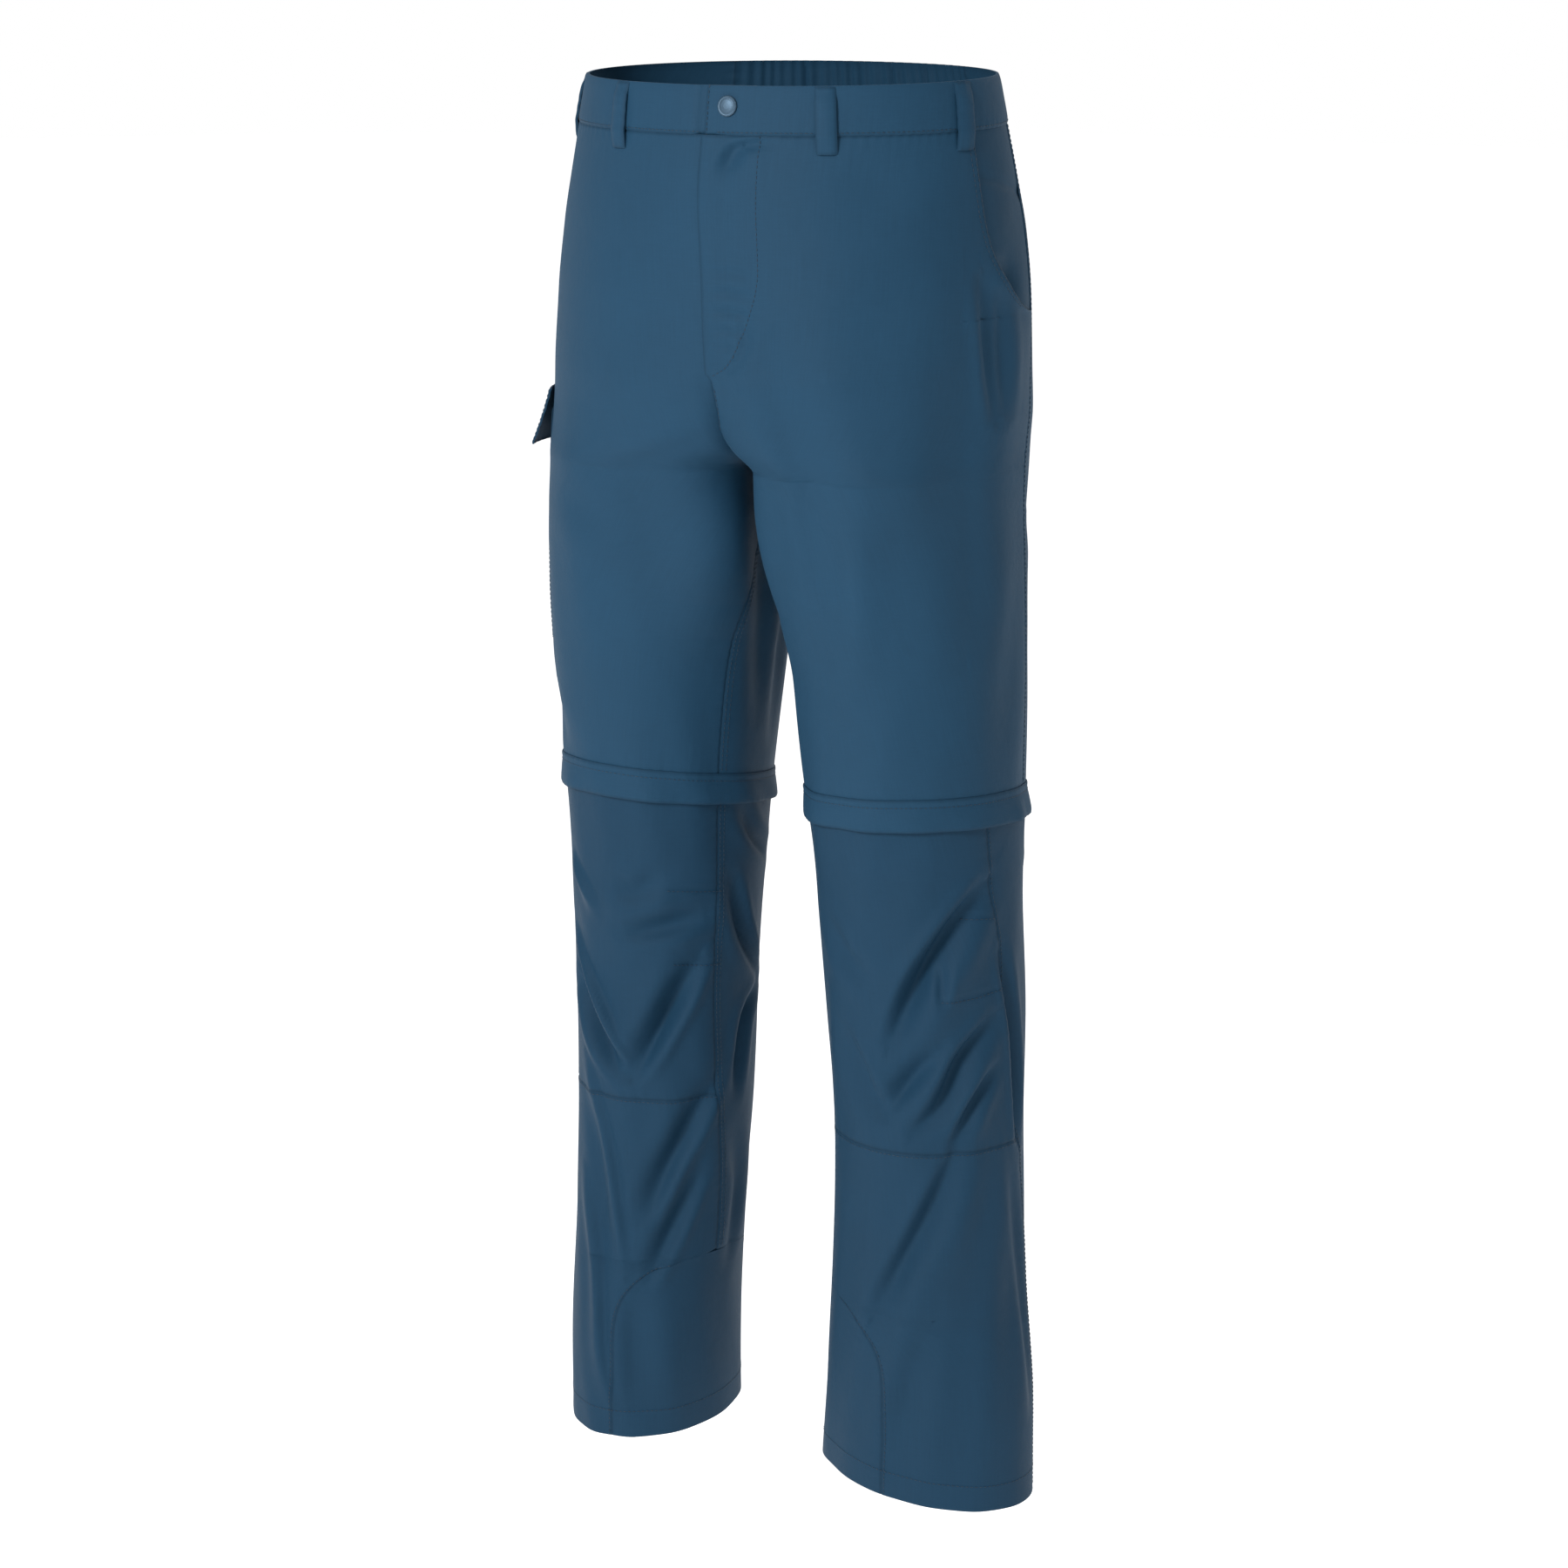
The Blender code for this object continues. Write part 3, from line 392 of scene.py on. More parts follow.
def fold_depth(fold, angle, level):
    """How far one fold sinks the cloth: a trough with low crests beside it, steeper to one
    side. With a negative depth it is a ridge."""
    places, width, depth, lean = fold
    marks = [(number, *place) for number, place in enumerate(places)]
    line_angle, line_level = read_table(marks, np.linspace(0.0, len(places) - 1, 6 * len(places)))
    line = np.stack([line_angle * FOLD_DEGREE, line_level], axis=-1)
    middle_angle = places[len(places) // 2][0]
    x = ((angle - middle_angle + 180.0) % 360.0 - 180.0 + middle_angle) * FOLD_DEGREE
    y = level + 0.0 * angle
    sunk = np.zeros_like(x)
    reach = 4.5 * width
    near = ((x > line[:, 0].min() - reach) & (x < line[:, 0].max() + reach)
            & (y > line[:, 1].min() - reach) & (y < line[:, 1].max() + reach))
    if not near.any():
        return sunk
    x, y = x[near], y[near]
    best = np.full(x.shape, 1e9)
    aside = np.zeros_like(x)
    along = np.zeros_like(x)
    steps = np.diff(line, axis=0)
    lengths = np.hypot(steps[:, 0], steps[:, 1])
    starts = np.concatenate([[0.0], np.cumsum(lengths)])
    for number, (step, length) in enumerate(zip(steps, lengths)):
        off_x, off_y = x - line[number, 0], y - line[number, 1]
        share = np.clip((off_x * step[0] + off_y * step[1]) / length ** 2, 0.0, 1.0)
        distance = np.hypot(off_x - share * step[0], off_y - share * step[1])
        closer = distance < best
        best = np.where(closer, distance, best)
        cross = (off_x * step[1] - off_y * step[0]) / length
        aside = np.where(closer, np.sign(cross) * distance, aside)
        along = np.where(closer, (starts[number] + share * length) / starts[-1], along)
    wide = width * np.where(aside > 0.0, 1.0 + lean, 1.0 - lean)
    crests = np.exp(-((np.abs(aside) - 1.9 * wide) / wide) ** 2)
    shape = np.exp(-(aside / wide) ** 2) - FOLD_CREST * crests
    sunk[near] = depth * shape * np.sin(np.pi * (0.04 + 0.92 * along)) ** 0.8
    return sunk


def ripples(side, angle, level):
    """Slight unevenness all over, mostly in long upright waves."""
    chance = np.random.default_rng(RIPPLE_SEED + side)
    height = 0.0
    for _ in range(16):
        around = chance.integers(2, 15)
        upright = chance.uniform(4.0, 46.0)
        height = height + np.sin(np.radians(angle) * around + level * upright + chance.uniform(0.0, 6.3))
    calm = smooth_step((level - 0.04) / 0.08)
    return RIPPLE_HEIGHT / 2.8 * height * calm


def place(side, angle, level, out=0.0):
    """Points of the cloth's outer face, moved out from it. Above the fork, cloth that
    laps past the middle follows the other half's form."""
    angle = np.asarray(angle, dtype=float)
    level = np.asarray(level, dtype=float) + 0.0 * angle
    mid_across, mid_along, half_across, half_along, reach, pitch, roll = ellipse(side, level)
    around = np.radians(angle)
    across = mid_across - half_across * np.cos(around)
    past = (level < FORK_LEVEL) & (across < 0.0)
    twin = np.arccos(np.clip((mid_across + across) / half_across, -1.0, 1.0))
    twin = np.where(angle < 180.0, twin, 2 * np.pi - twin)
    around = np.where(past, twin, around)
    along = mid_along - half_along * np.sin(around)
    normal_across = -np.cos(around) / half_across
    normal_along = -np.sin(around) / half_along
    size = np.hypot(normal_across, normal_along)
    normal_across = np.where(past, -1.0, 1.0) * normal_across / size
    normal_along = normal_along / size
    out = out + ripples(side, angle, level)
    for fold in FOLDS[side]:
        out = out - fold_depth(fold, angle, level)
    drop = level + pitch * (along - mid_along) + roll * (across - mid_across)
    drift = read_table(CENTRE_DRIFT, level)[0]
    sideways = side * (across + out * normal_across) + drift * (1.0 - (across / reach) ** 2)
    return np.stack([sideways, along + out * normal_along, -drop], axis=-1)


# The shell cloth. Thin plain-woven nylon in slate blue, piece-dyed, with a soft sheen;
# the lower legs are a shade darker. Its threads and slubs are in the finish, and so is a
# painted shade: a dark line along each edge where a seam rolls under. The cloth is a shell
# 0.7 mm thick. FINE, EVEN and COARSE are the steps of its mesh.
THREAD = 0.0007
SHEET = 0.0007
ROLL_DEPTH = 0.0005
ROLL_WIDTH = 0.0010
PUCKER_HEIGHT = 0.00020
PUCKER_LENGTH = 0.0085
PUCKER_REACH = 0.006
SEAM_SHADE_WIDTH = 0.0016
FINE = 0.0024
EVEN = 0.0030
COARSE = 0.0036
UNROLLED = (False, False, False, False)


def nylon(name, color, roughness, sheen):
    finish = Finish(name)
    uv = finish.node("ShaderNodeUVMap", {"uv_map": "cloth"}, {})
    across = finish.node("ShaderNodeSeparateXYZ", {}, {0: uv}, 0)
    down = finish.node("ShaderNodeSeparateXYZ", {}, {0: uv}, 1)
    spot = finish.node("ShaderNodeTexCoord", {}, {}, 3)
    weave = (across * (2 * math.pi / THREAD)).math("SINE") * (down * (2 * math.pi / THREAD)).math("SINE")
    streak_place = finish.node("ShaderNodeCombineXYZ", {}, {0: across * 900.0, 1: down * 26.0})
    streak = finish.noise(streak_place, 1.0, 2.0)
    slub_place = finish.node("ShaderNodeCombineXYZ", {}, {0: across * 60.0, 1: down * 1100.0})
    slub = finish.noise(slub_place, 1.0, 2.0)
    tone = finish.noise(spot, 13.0, 3.0)
    crumple = finish.noise(spot, 95.0, 4.0)
    # Painted shade: the seam mark lies along each sewn edge, where the cloth rolls under, and darkens
    # the colour there by up to a quarter.
    seam = finish.node("ShaderNodeAttribute", {"attribute_name": "seam"}, {}, 2)
    uneven = 1.0 + (streak - 0.5) * 0.16 + (slub - 0.5) * 0.12 + (tone - 0.5) * 0.18 + weave * 0.035
    amount = uneven * (1.0 - seam * 0.24)
    bump = finish.node("ShaderNodeBump", {}, {"Strength": 0.30, "Distance": 0.0012, "Height": crumple})
    threads = finish.node("ShaderNodeBump", {}, {"Strength": 0.35, "Distance": 0.00012,
                                                 "Height": weave + streak + slub, "Normal": bump})
    finish.surface(Base_Color=finish.shade(color, amount), Roughness=roughness + (tone - 0.5) * 0.16,
                   Normal=threads, Sheen_Weight=sheen, Sheen_Roughness=0.45,
                   Sheen_Tint=(0.35, 0.60, 0.85, 1.0), Specular_IOR_Level=0.10)
    return finish.material


SHELL = (nylon("shell_nylon", (0.0120, 0.0470, 0.0900, 1.0), 0.60, 0.03), "shell_cloth")
LOWER = (nylon("lower_nylon", (0.0095, 0.0380, 0.0740, 1.0), 0.60, 0.03), "lower_cloth")


def edge_steps(width, grid):
    """Places from one edge to the other, closer by the edges, where a seam rolls under."""
    count = max(4, math.ceil(float(np.max(width)) / grid))
    scale = np.minimum(1.0, width / 0.012)
    close = np.array([0.0, 0.0006, 0.0014, 0.0026]) * scale
    inner = close[..., 3:] + (width - 2 * close[..., 3:]) * np.linspace(0.0, 1.0, count)
    return np.concatenate([close[..., :3], inner, width - close[..., 2::-1]], axis=-1)


def add_mesh(name, points, faces, material, uv, seam):
    mesh = bpy.data.meshes.new(name)
    mesh.from_pydata(points.tolist(), [], faces)
    mesh.materials.append(material)
    mesh.shade_smooth()
    mesh.set_sharp_from_angle(angle=math.radians(55))
    corner = np.zeros(len(mesh.loops), dtype=np.int32)
    mesh.loops.foreach_get("vertex_index", corner)
    mesh.uv_layers.new(name="cloth").data.foreach_set("uv", uv[corner].ravel())
    # The seam mark, which the finish paints as shade along the sewn edges.
    mesh.attributes.new("seam", "FLOAT", "POINT").data.foreach_set("value", seam)
    thing = bpy.data.objects.new(name, mesh)
    bpy.context.scene.collection.objects.link(thing)
    return thing


def cloth(name, side, rows, start, end, fabric, lift=None, grid=FINE, wall=SHEET,
          rolled=(True, True, True, True), closed=False):
    """A piece of cloth between two edges, as a thin closed shell with its edges rolled under.
    rolled says which edges are sewn: first, last, top and bottom. It stands for the CAD
    node of its name, which it hides."""
    material, slot = fabric
    level = np.asarray(rows, dtype=float)[:, None]
    first, last = start(level), end(level)
    degree = turn(side, level, 1.0)
    width = (last - first) / degree
    if closed:
        count = math.ceil(float(width.max()) / grid)
        far = width * np.arange(count) / count
        by_side = np.full(far.shape, 1.0)
    else:
        far = edge_steps(width, grid)
        by_side = np.minimum(far if rolled[0] else 1.0, width - far if rolled[1] else 1.0) + 0.0 * far
    angle = first + far * degree
    level = level + 0.0 * angle
    from_top = level - level[0, 0] if rolled[2] else 1.0
    from_low = level[-1, 0] - level if rolled[3] else 1.0
    by_end = np.minimum(from_top, from_low) + 0.0 * level
    out = lift(angle, level) if lift else 0.0 * angle
    rolled_in = np.exp(-(by_side / ROLL_WIDTH) ** 2) + np.exp(-(by_end / ROLL_WIDTH) ** 2)
    out = out - ROLL_DEPTH * rolled_in
    upright = np.sin(2 * np.pi * level / PUCKER_LENGTH + 1.7 * np.sin(level * 61.0))
    round_it = np.sin(2 * np.pi * far / PUCKER_LENGTH + 1.7 * np.sin(far * 47.0))
    wave = upright * np.exp(-by_side / PUCKER_REACH) + round_it * np.exp(-by_end / PUCKER_REACH)
    out = out + PUCKER_HEIGHT * wave
    outer = place(side, angle, level, out)
    inner = place(side, angle, level, out - wall)
    # Painted shade along the sewn edges, where a seam rolls under; the finish darkens the colour by this
    # mark.
    seam = np.exp(-(np.minimum(by_side, by_end) / SEAM_SHADE_WIDTH) ** 2)
    uv = np.stack([far, -level], axis=-1)
    if side == RIGHT:
        outer, inner, seam, uv = outer[:, ::-1], inner[:, ::-1], seam[:, ::-1], uv[:, ::-1]
    outer, inner, seam, uv = outer[::-1], inner[::-1], seam[::-1], uv[::-1]
    high, wide = outer.shape[:2]
    number = np.arange(high * wide).reshape(high, wide)
    beside = np.roll(number, -1, axis=1) if closed else number[:, 1:]
    here = number if closed else number[:, :-1]
    shift = high * wide
    a, b, c, d = here[:-1], beside[:-1], beside[1:], here[1:]
    faces = [np.stack([a, b, c, d], axis=-1).reshape(-1, 4)]
    faces.append(np.stack([d, c, b, a], axis=-1).reshape(-1, 4) + shift)
    low, low_next = here[0], beside[0]
    faces.append(np.stack([low_next, low, low + shift, low_next + shift], axis=-1))
    top, top_next = here[-1], beside[-1]
    faces.append(np.stack([top, top_next, top_next + shift, top + shift], axis=-1))
    if not closed:
        down, down_next = number[:-1, 0], number[1:, 0]
        faces.append(np.stack([down, down_next, down_next + shift, down + shift], axis=-1))
        down, down_next = number[:-1, -1], number[1:, -1]
        faces.append(np.stack([down_next, down, down + shift, down_next + shift], axis=-1))
    points = np.concatenate([outer.reshape(-1, 3), inner.reshape(-1, 3)])
    thing = add_mesh(name + "_cloth", points, np.concatenate(faces).tolist(), material,
                     np.tile(uv.reshape(-1, 2), (2, 1)), np.tile(seam.ravel(), 2))
    corner = np.cross(outer[:-1, 1:] - outer[:-1, :-1], outer[1:, :-1] - outer[:-1, :-1])
    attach(thing, "root")
    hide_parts(name)
    return thing


def levels_between(low, high, grid, extra=()):
    rows = edge_steps(np.array([high - low]), grid) + low
    between = [level for level in extra if low < level < high]
    return np.unique(np.round(np.concatenate([rows, between]), 6))


def edge_at(angle):
    """An upright edge at one angle."""
    return lambda level: angle + 0.0 * level


def flat_lift(out):
    """Cloth that lies at one height all over."""
    return lambda angle, level: out + 0.0 * angle


def side_name(base, side):
    return f"{base}_left" if side == LEFT else f"{base}_right"


# The shorts' fronts. Each is cut from waistband to knee, scooped at the hip for the hand
# pocket. The left one laps over the right along the fly, which is stitched down on it.
# Pieces that meet at a seam overlap by a hair, so the gap between them is below zero.
SEAM_GAP = -0.0003
HALF_GAP = SEAM_GAP / 2
BAND_DEPTH = 0.035
KNEE_LEVEL = {LEFT: 0.533, RIGHT: 0.540}
ZIP_HALF = 0.006
CLOTH = 0.0015
LAY_GAP = 0.0006
UNDER_GAP = 0.0013
FLY_END_LEVEL = 0.205
LAP_REACH = 0.005
INSEAM = {
    LEFT: ((0.283, 0.0), (0.36, 6.0), (0.52, 8.0), (0.75, 10.0), (0.905, 15.0), (1.07, 15.0)),
    RIGHT: ((0.283, 0.0), (0.345, 15.0), (0.42, 26.0), (0.52, 28.0), (0.75, 26.0), (0.905, 15.0),
            (1.07, 15.0)),
}
SIDE_SEAM = ((0.0, 198.0), (0.52, 196.0), (1.07, 196.0))
SCOOP_ANGLE = 167.0
SCOOP_BEND_LEVEL = 0.090
SCOOP_END_LEVEL = 0.168


def inner_seam(side):
    """The angle of the centre seam, then of the inseam, as seen on the front."""
    def angle(level):
        centre = angle_at(side, level, HALF_GAP)
        inseam = read_table(INSEAM[side], level)[0] + turn(side, level, HALF_GAP)
        return np.where(level < FORK_LEVEL, centre, inseam)
    return angle


def back_seam(side):
    """The same seams as seen on the back."""
    def angle(level):
        centre = 360.0 - angle_at(side, level, HALF_GAP)
        inseam = 360.0 + read_table(INSEAM[side], level)[0] - turn(side, level, HALF_GAP)
        return np.where(level < FORK_LEVEL, centre, inseam)
    return angle


def side_seam(level):
    return read_table(SIDE_SEAM, level)[0]


def scoop_edge(side):
    def angle(level):
        seam = side_seam(level)
        along = np.clip((level - SCOOP_BEND_LEVEL) / (SCOOP_END_LEVEL - SCOOP_BEND_LEVEL), 0.0, 1.0)
        return seam - turn(side, level, HALF_GAP) - (seam - SCOOP_ANGLE) * np.sqrt(1.0 - along ** 2)
    return angle


def lap_edge(level):
    share = 1.0 - smooth_step((level - FLY_END_LEVEL) / 0.008)
    lapped = angle_at(LEFT, level, HALF_GAP - share * (LAP_REACH + HALF_GAP))
    return np.where(share > 0.0, lapped, inner_seam(LEFT)(level))


def lap_lift(angle, level):
    """The lap lies a cloth's thickness over the right front."""
    near = 1.0 - smooth_step((across_at(LEFT, angle, level) - 0.002) / 0.016)
    return (CLOTH + LAY_GAP) * near * (1.0 - smooth_step((level - FLY_END_LEVEL - 0.008) / 0.030))


def scoop_gape(side):
    """The scoop's edge stands open a little above its lower end."""
    def lift(angle, level):
        away = ((angle - scoop_edge(side)(level)) / 7.0) ** 2 + ((level - 0.145) / 0.018) ** 2
        open_edge = 0.0032 * np.exp(-away)
        return open_edge + lap_lift(angle, level) if side == LEFT else open_edge
    return lift


scoop_rows = SCOOP_END_LEVEL - np.array([0.0002, 0.0008, 0.0018, 0.0035, 0.006])
for side in (LEFT, RIGHT):
    rows = levels_between(BAND_DEPTH + HALF_GAP, KNEE_LEVEL[side] - ZIP_HALF, FINE, scoop_rows)
    middle_edge = lap_edge if side == LEFT else inner_seam(side)
    cloth(side_name("front", side), side, rows, middle_edge, scoop_edge(side), SHELL,
          scoop_gape(side))


# The shorts' backs, joined to the fronts at the side seams and inseams and to each other
# at the centre seam. The elastic above gathers their top edge.
ELASTIC_ANGLE = 232.0
BACK_ANGLE = 270.0
GATHER_COUNT = 24


def gather_wave(angle):
    """Uneven waves of cloth drawn up by the elastic, by angle round the left half's turn."""
    share = (angle - ELASTIC_ANGLE) / (2 * (BACK_ANGLE - ELASTIC_ANGLE))
    inside = np.sin(np.pi * np.clip(share, 0.0, 1.0)) ** 0.3
    phase = share * GATHER_COUNT * 2 * np.pi + 0.9 * np.sin(share * 23.0) + 0.5 * np.sin(share * 51.0)
    return inside * np.sin(phase) * (0.75 + 0.25 * np.sin(share * 37.0))


def gathered_back(angle, level):
    return 0.0012 * gather_wave(angle) * np.exp(-(level - BAND_DEPTH) / 0.022)


for side in (LEFT, RIGHT):
    rows = levels_between(BAND_DEPTH + HALF_GAP, KNEE_LEVEL[side] - ZIP_HALF, COARSE)
    cloth(side_name("back", side), side, rows,
          lambda level: side_seam(level) + turn(side, level, HALF_GAP), back_seam(side),
          SHELL, gathered_back, COARSE)


# Facings that show in the hand pockets' mouths. Each is the shell cloth, coloured darker as
# painted shade in the pocket's mouth, sunk where the pocket gapes, and runs a little way under the front
# and back.
FACING_START_ANGLE = 158.0
FACING_TUCK = 3.0
FACING_END_LEVEL = 0.190
# A darker copy of the shell nylon: painted shade for cloth in the pocket mouths, behind the fly's lap
# and under the knee flaps.
SHADED_INSIDE = (nylon("inside_nylon_shaded", (0.0110, 0.0430, 0.0820, 1.0), 0.62, 0.02), "inside_cloth")


def facing_lift(angle, level):
    away = ((angle - 177.0) / 6.0) ** 2 + ((level - 0.148) / 0.016) ** 2
    crease = 0.0012 * np.exp(-((level - 0.074 - (angle - 180.0) * 0.0006) / 0.0045) ** 2)
    return -0.0010 - 0.0090 * np.exp(-away) - crease


for side in (LEFT, RIGHT):
    rows = levels_between(BAND_DEPTH + HALF_GAP, FACING_END_LEVEL, FINE)
    cloth(side_name("pocket_facing", side), side, rows, edge_at(FACING_START_ANGLE),
          lambda level: side_seam(level) + FACING_TUCK, SHADED_INSIDE, facing_lift,
          rolled=UNROLLED)


# The fly facing, a strip behind the lap whose lower end is cut in a J.
FACING_INNER = 0.008
FACING_WIDTH = 0.040


def facing_outer(level):
    along = smooth_step((level - 0.130) / (FLY_END_LEVEL - 0.130))
    reach = FACING_INNER + (FACING_WIDTH - FACING_INNER) * np.sqrt(1.0 - 0.93 * along)
    return angle_at(LEFT, level, reach)


rows = levels_between(BAND_DEPTH + SEAM_GAP, FLY_END_LEVEL, FINE)
cloth("fly_facing", LEFT, rows, lambda level: angle_at(LEFT, level, FACING_INNER), facing_outer,
      SHADED_INSIDE, flat_lift(-(CLOTH + UNDER_GAP)), rolled=UNROLLED)


# The waistband: two flat front pieces that meet under the snap, the left over the right's
# underlap, and a back piece gathered on elastic.
BAND_PROUD = 0.0006
BAND_WALL = 0.0020
BAND_LAP_X = -0.003
UNDERLAP_REACH = 0.034
BAND_ROLLED = (True, True, False, True)


def elastic_start(side):
    return lambda level: ELASTIC_ANGLE - turn(side, level, HALF_GAP)


def band_swell(level):
    """The band is padded by its inner layers, and rounds off at its top and lower edges."""
    along = (level - BAND_DEPTH / 2) / (BAND_DEPTH / 2)
    return BAND_PROUD + 0.0005 - 0.0009 * along ** 6


def band_lift(angle, level):
    return band_swell(level)


def band_end(level):
    """The left front piece's end, over the underlap."""
    return angle_at(LEFT, level, BAND_LAP_X)


def underlap_lift(angle, level):
    near = smooth_step((0.012 - across_at(RIGHT, angle, level)) / 0.006)
    return band_swell(level) - near * (0.0022 + LAY_GAP)


band_rows = levels_between(0.0, BAND_DEPTH - HALF_GAP, FINE)
cloth("waistband_front_left", LEFT, band_rows, band_end, elastic_start(LEFT), SHELL,
      band_lift, wall=BAND_WALL, rolled=BAND_ROLLED)
cloth("waistband_front_right", RIGHT, band_rows, lambda level: angle_at(RIGHT, level, -UNDERLAP_REACH),
      elastic_start(RIGHT), SHELL, underlap_lift, wall=BAND_WALL,
      rolled=(False, True, False, True))
cloth("waistband_back", LEFT, band_rows, lambda level: ELASTIC_ANGLE + turn(LEFT, level, HALF_GAP),
      lambda level: 2 * BACK_ANGLE - ELASTIC_ANGLE - turn(LEFT, level, HALF_GAP),
      SHELL, lambda angle, level: band_swell(level) + 0.0014 * gather_wave(angle),
      grid=0.0016, wall=BAND_WALL, rolled=BAND_ROLLED)


# Belt loops: folded strips 15 mm wide, sewn down at both ends and standing off the band
# between them.
LOOP_WIDTH = 0.015
LOOP_GRID = 0.0018
LOOP_WALL = 0.0012
LOOP_TOP = 0.0008
LOOP_END = 0.048
LOOP_ANGLES = (121.0, 165.0, 217.0)
LOOP_SLANTS = {LEFT: (0.0, -2.5, 0.0), RIGHT: (-2.0, 0.0, 1.0)}


def belt_loop(name, side, centre, slant):
    rest = BAND_PROUD + 0.0004 + (0.0012 if centre == BACK_ANGLE else 0.0)

    def middle(level):
        return centre + slant * (level - LOOP_TOP) / (LOOP_END - LOOP_TOP)

    def half(level):
        _, _, half_across, half_along, _, _, _ = ellipse(side, level)
        around = math.radians(centre)
        speed = np.hypot(half_across * math.sin(around), half_along * math.cos(around))
        return LOOP_WIDTH / 2 / (math.radians(1.0) * speed)

    def lift(angle, level):
        share = (level - LOOP_TOP) / (LOOP_END - LOOP_TOP)
        stand = smooth_step(share / 0.28) * smooth_step((1.0 - share) / 0.28)
        aside = (angle - middle(level)) / half(level)
        return rest + 0.0024 * stand + 0.0012 - 0.0005 * aside ** 4 + 0.0003 * np.cos(aside * np.pi)

    cloth(name, side, levels_between(LOOP_TOP, LOOP_END, LOOP_GRID),
          lambda level: middle(level) - half(level), lambda level: middle(level) + half(level),
          SHELL, lift, grid=LOOP_GRID, wall=LOOP_WALL)


for side in (LEFT, RIGHT):
    for number, angle in enumerate(LOOP_ANGLES, start=1):
        belt_loop(f"{side_name('belt_loop', side)}_{number}", side, angle, LOOP_SLANTS[side][number - 1])
belt_loop("belt_loop_back", LEFT, BACK_ANGLE, 0.0)


# The flapped pocket on the right thigh: a flat bag, sewn on at its sides and lower edge,
# under a flap that springs away at its free corners.
CARGO_ANGLES = (154.0, 240.0)
CARGO_LEVELS = (0.252, 0.440)
CARGO_FLAP_ANGLES = (151.5, 242.0)
CARGO_FLAP_LEVELS = (0.236, 0.279)
FLAP_WALL = 0.0013
cargo_lift = flat_lift(CLOTH + LAY_GAP)


def flap_spring(angle, level):
    share = (level - CARGO_FLAP_LEVELS[0]) / (CARGO_FLAP_LEVELS[1] - CARGO_FLAP_LEVELS[0])
    along = (angle - CARGO_FLAP_ANGLES[0]) / (CARGO_FLAP_ANGLES[1] - CARGO_FLAP_ANGLES[0])
    corner = 0.25 + 0.75 * (1.0 - smooth_step(along / 0.5)) + 0.35 * smooth_step((along - 0.6) / 0.4)
    return 2 * (CLOTH + LAY_GAP) + 0.0115 * corner * np.clip(share, 0.0, 1.0) ** 1.2


cloth("cargo_pocket_right", RIGHT, levels_between(*CARGO_LEVELS, EVEN), edge_at(CARGO_ANGLES[0]),
      edge_at(CARGO_ANGLES[1]), SHELL, cargo_lift, grid=EVEN,
      rolled=(True, True, False, True))
cloth("cargo_flap_right", RIGHT, levels_between(*CARGO_FLAP_LEVELS, FINE), edge_at(CARGO_FLAP_ANGLES[0]),
      edge_at(CARGO_FLAP_ANGLES[1]), SHELL, flap_spring, wall=FLAP_WALL)


# The leg zips. The tape joins shorts and lower leg all round, and a doubled flap sewn to
# the shorts' edge hangs over it.
KNEE_FLAP_REACH = (0.0115, 0.0120)
ZIP_SUNK = 0.0002


def flap_hang(side):
    top = KNEE_LEVEL[side] - KNEE_FLAP_REACH[0]
    deep = sum(KNEE_FLAP_REACH)

    def lift(angle, level):
        share = (level - top) / deep
        wave = 0.0006 * np.sin(np.radians(angle) * 7 + side) + 0.0004 * np.sin(np.radians(angle) * 13)
        turned_up = 0.0035 * np.exp(-((angle - 184.0) / 7.0) ** 2) * (side == LEFT)
        sewn = 0.0004 * np.exp(-((share - 0.24) / 0.08) ** 2)
        return 0.0012 + (0.0031 + wave + turned_up) * smooth_step(share) - sewn
    return lift


for side in (LEFT, RIGHT):
    knee = KNEE_LEVEL[side]
    rows = levels_between(knee - ZIP_HALF + SEAM_GAP, knee + ZIP_HALF - SEAM_GAP, EVEN)
    cloth(side_name("knee_zip", side), side, rows, edge_at(0.0), edge_at(360.0), SHADED_INSIDE,
          flat_lift(-ZIP_SUNK), grid=COARSE, rolled=UNROLLED, closed=True)
    rows = levels_between(knee - KNEE_FLAP_REACH[0], knee + KNEE_FLAP_REACH[1], 0.0022)
    cloth(side_name("knee_flap", side), side, rows, edge_at(0.0), edge_at(360.0), SHELL,
          flap_hang(side), grid=EVEN, wall=FLAP_WALL, closed=True)


# The lower legs: a knee front with two darts at its outer edge, a shin front, a back, and
# an arched panel inside the ankle. A wide turned-up hem finishes them.
SHIN_LEVEL = 0.788
HEM_LEVEL = 1.070
LOWER_SIDE_SEAM = ((0.54, 158.0), (0.60, 162.0), (0.65, 169.0), (0.70, 172.0), (0.76, 178.0),
                   (0.80, 186.0), (0.88, 196.0), (1.07, 200.0))
ARCH_CENTRE = 15.0
ARCH_HALF = 70.0
ARCH_TOP = {LEFT: 0.920, RIGHT: 0.925}
ARCH_HEIGHT = 0.070
ARCH_POWER = 2.6
HEM_OPEN = (True, True, True, False)


def arch_spread(side, level, inset):
    """Half the ankle panel's width in degrees, or zero above its crown."""
    along = np.clip((level - ARCH_TOP[side] - inset) / ARCH_HEIGHT, 0.0, 1.0)
    share = (1.0 - (1.0 - along) ** ARCH_POWER) ** (1.0 / ARCH_POWER)
    return np.maximum(ARCH_HALF * share - np.where(along > 0.0, turn(side, level, inset), 0.0), 0.0)


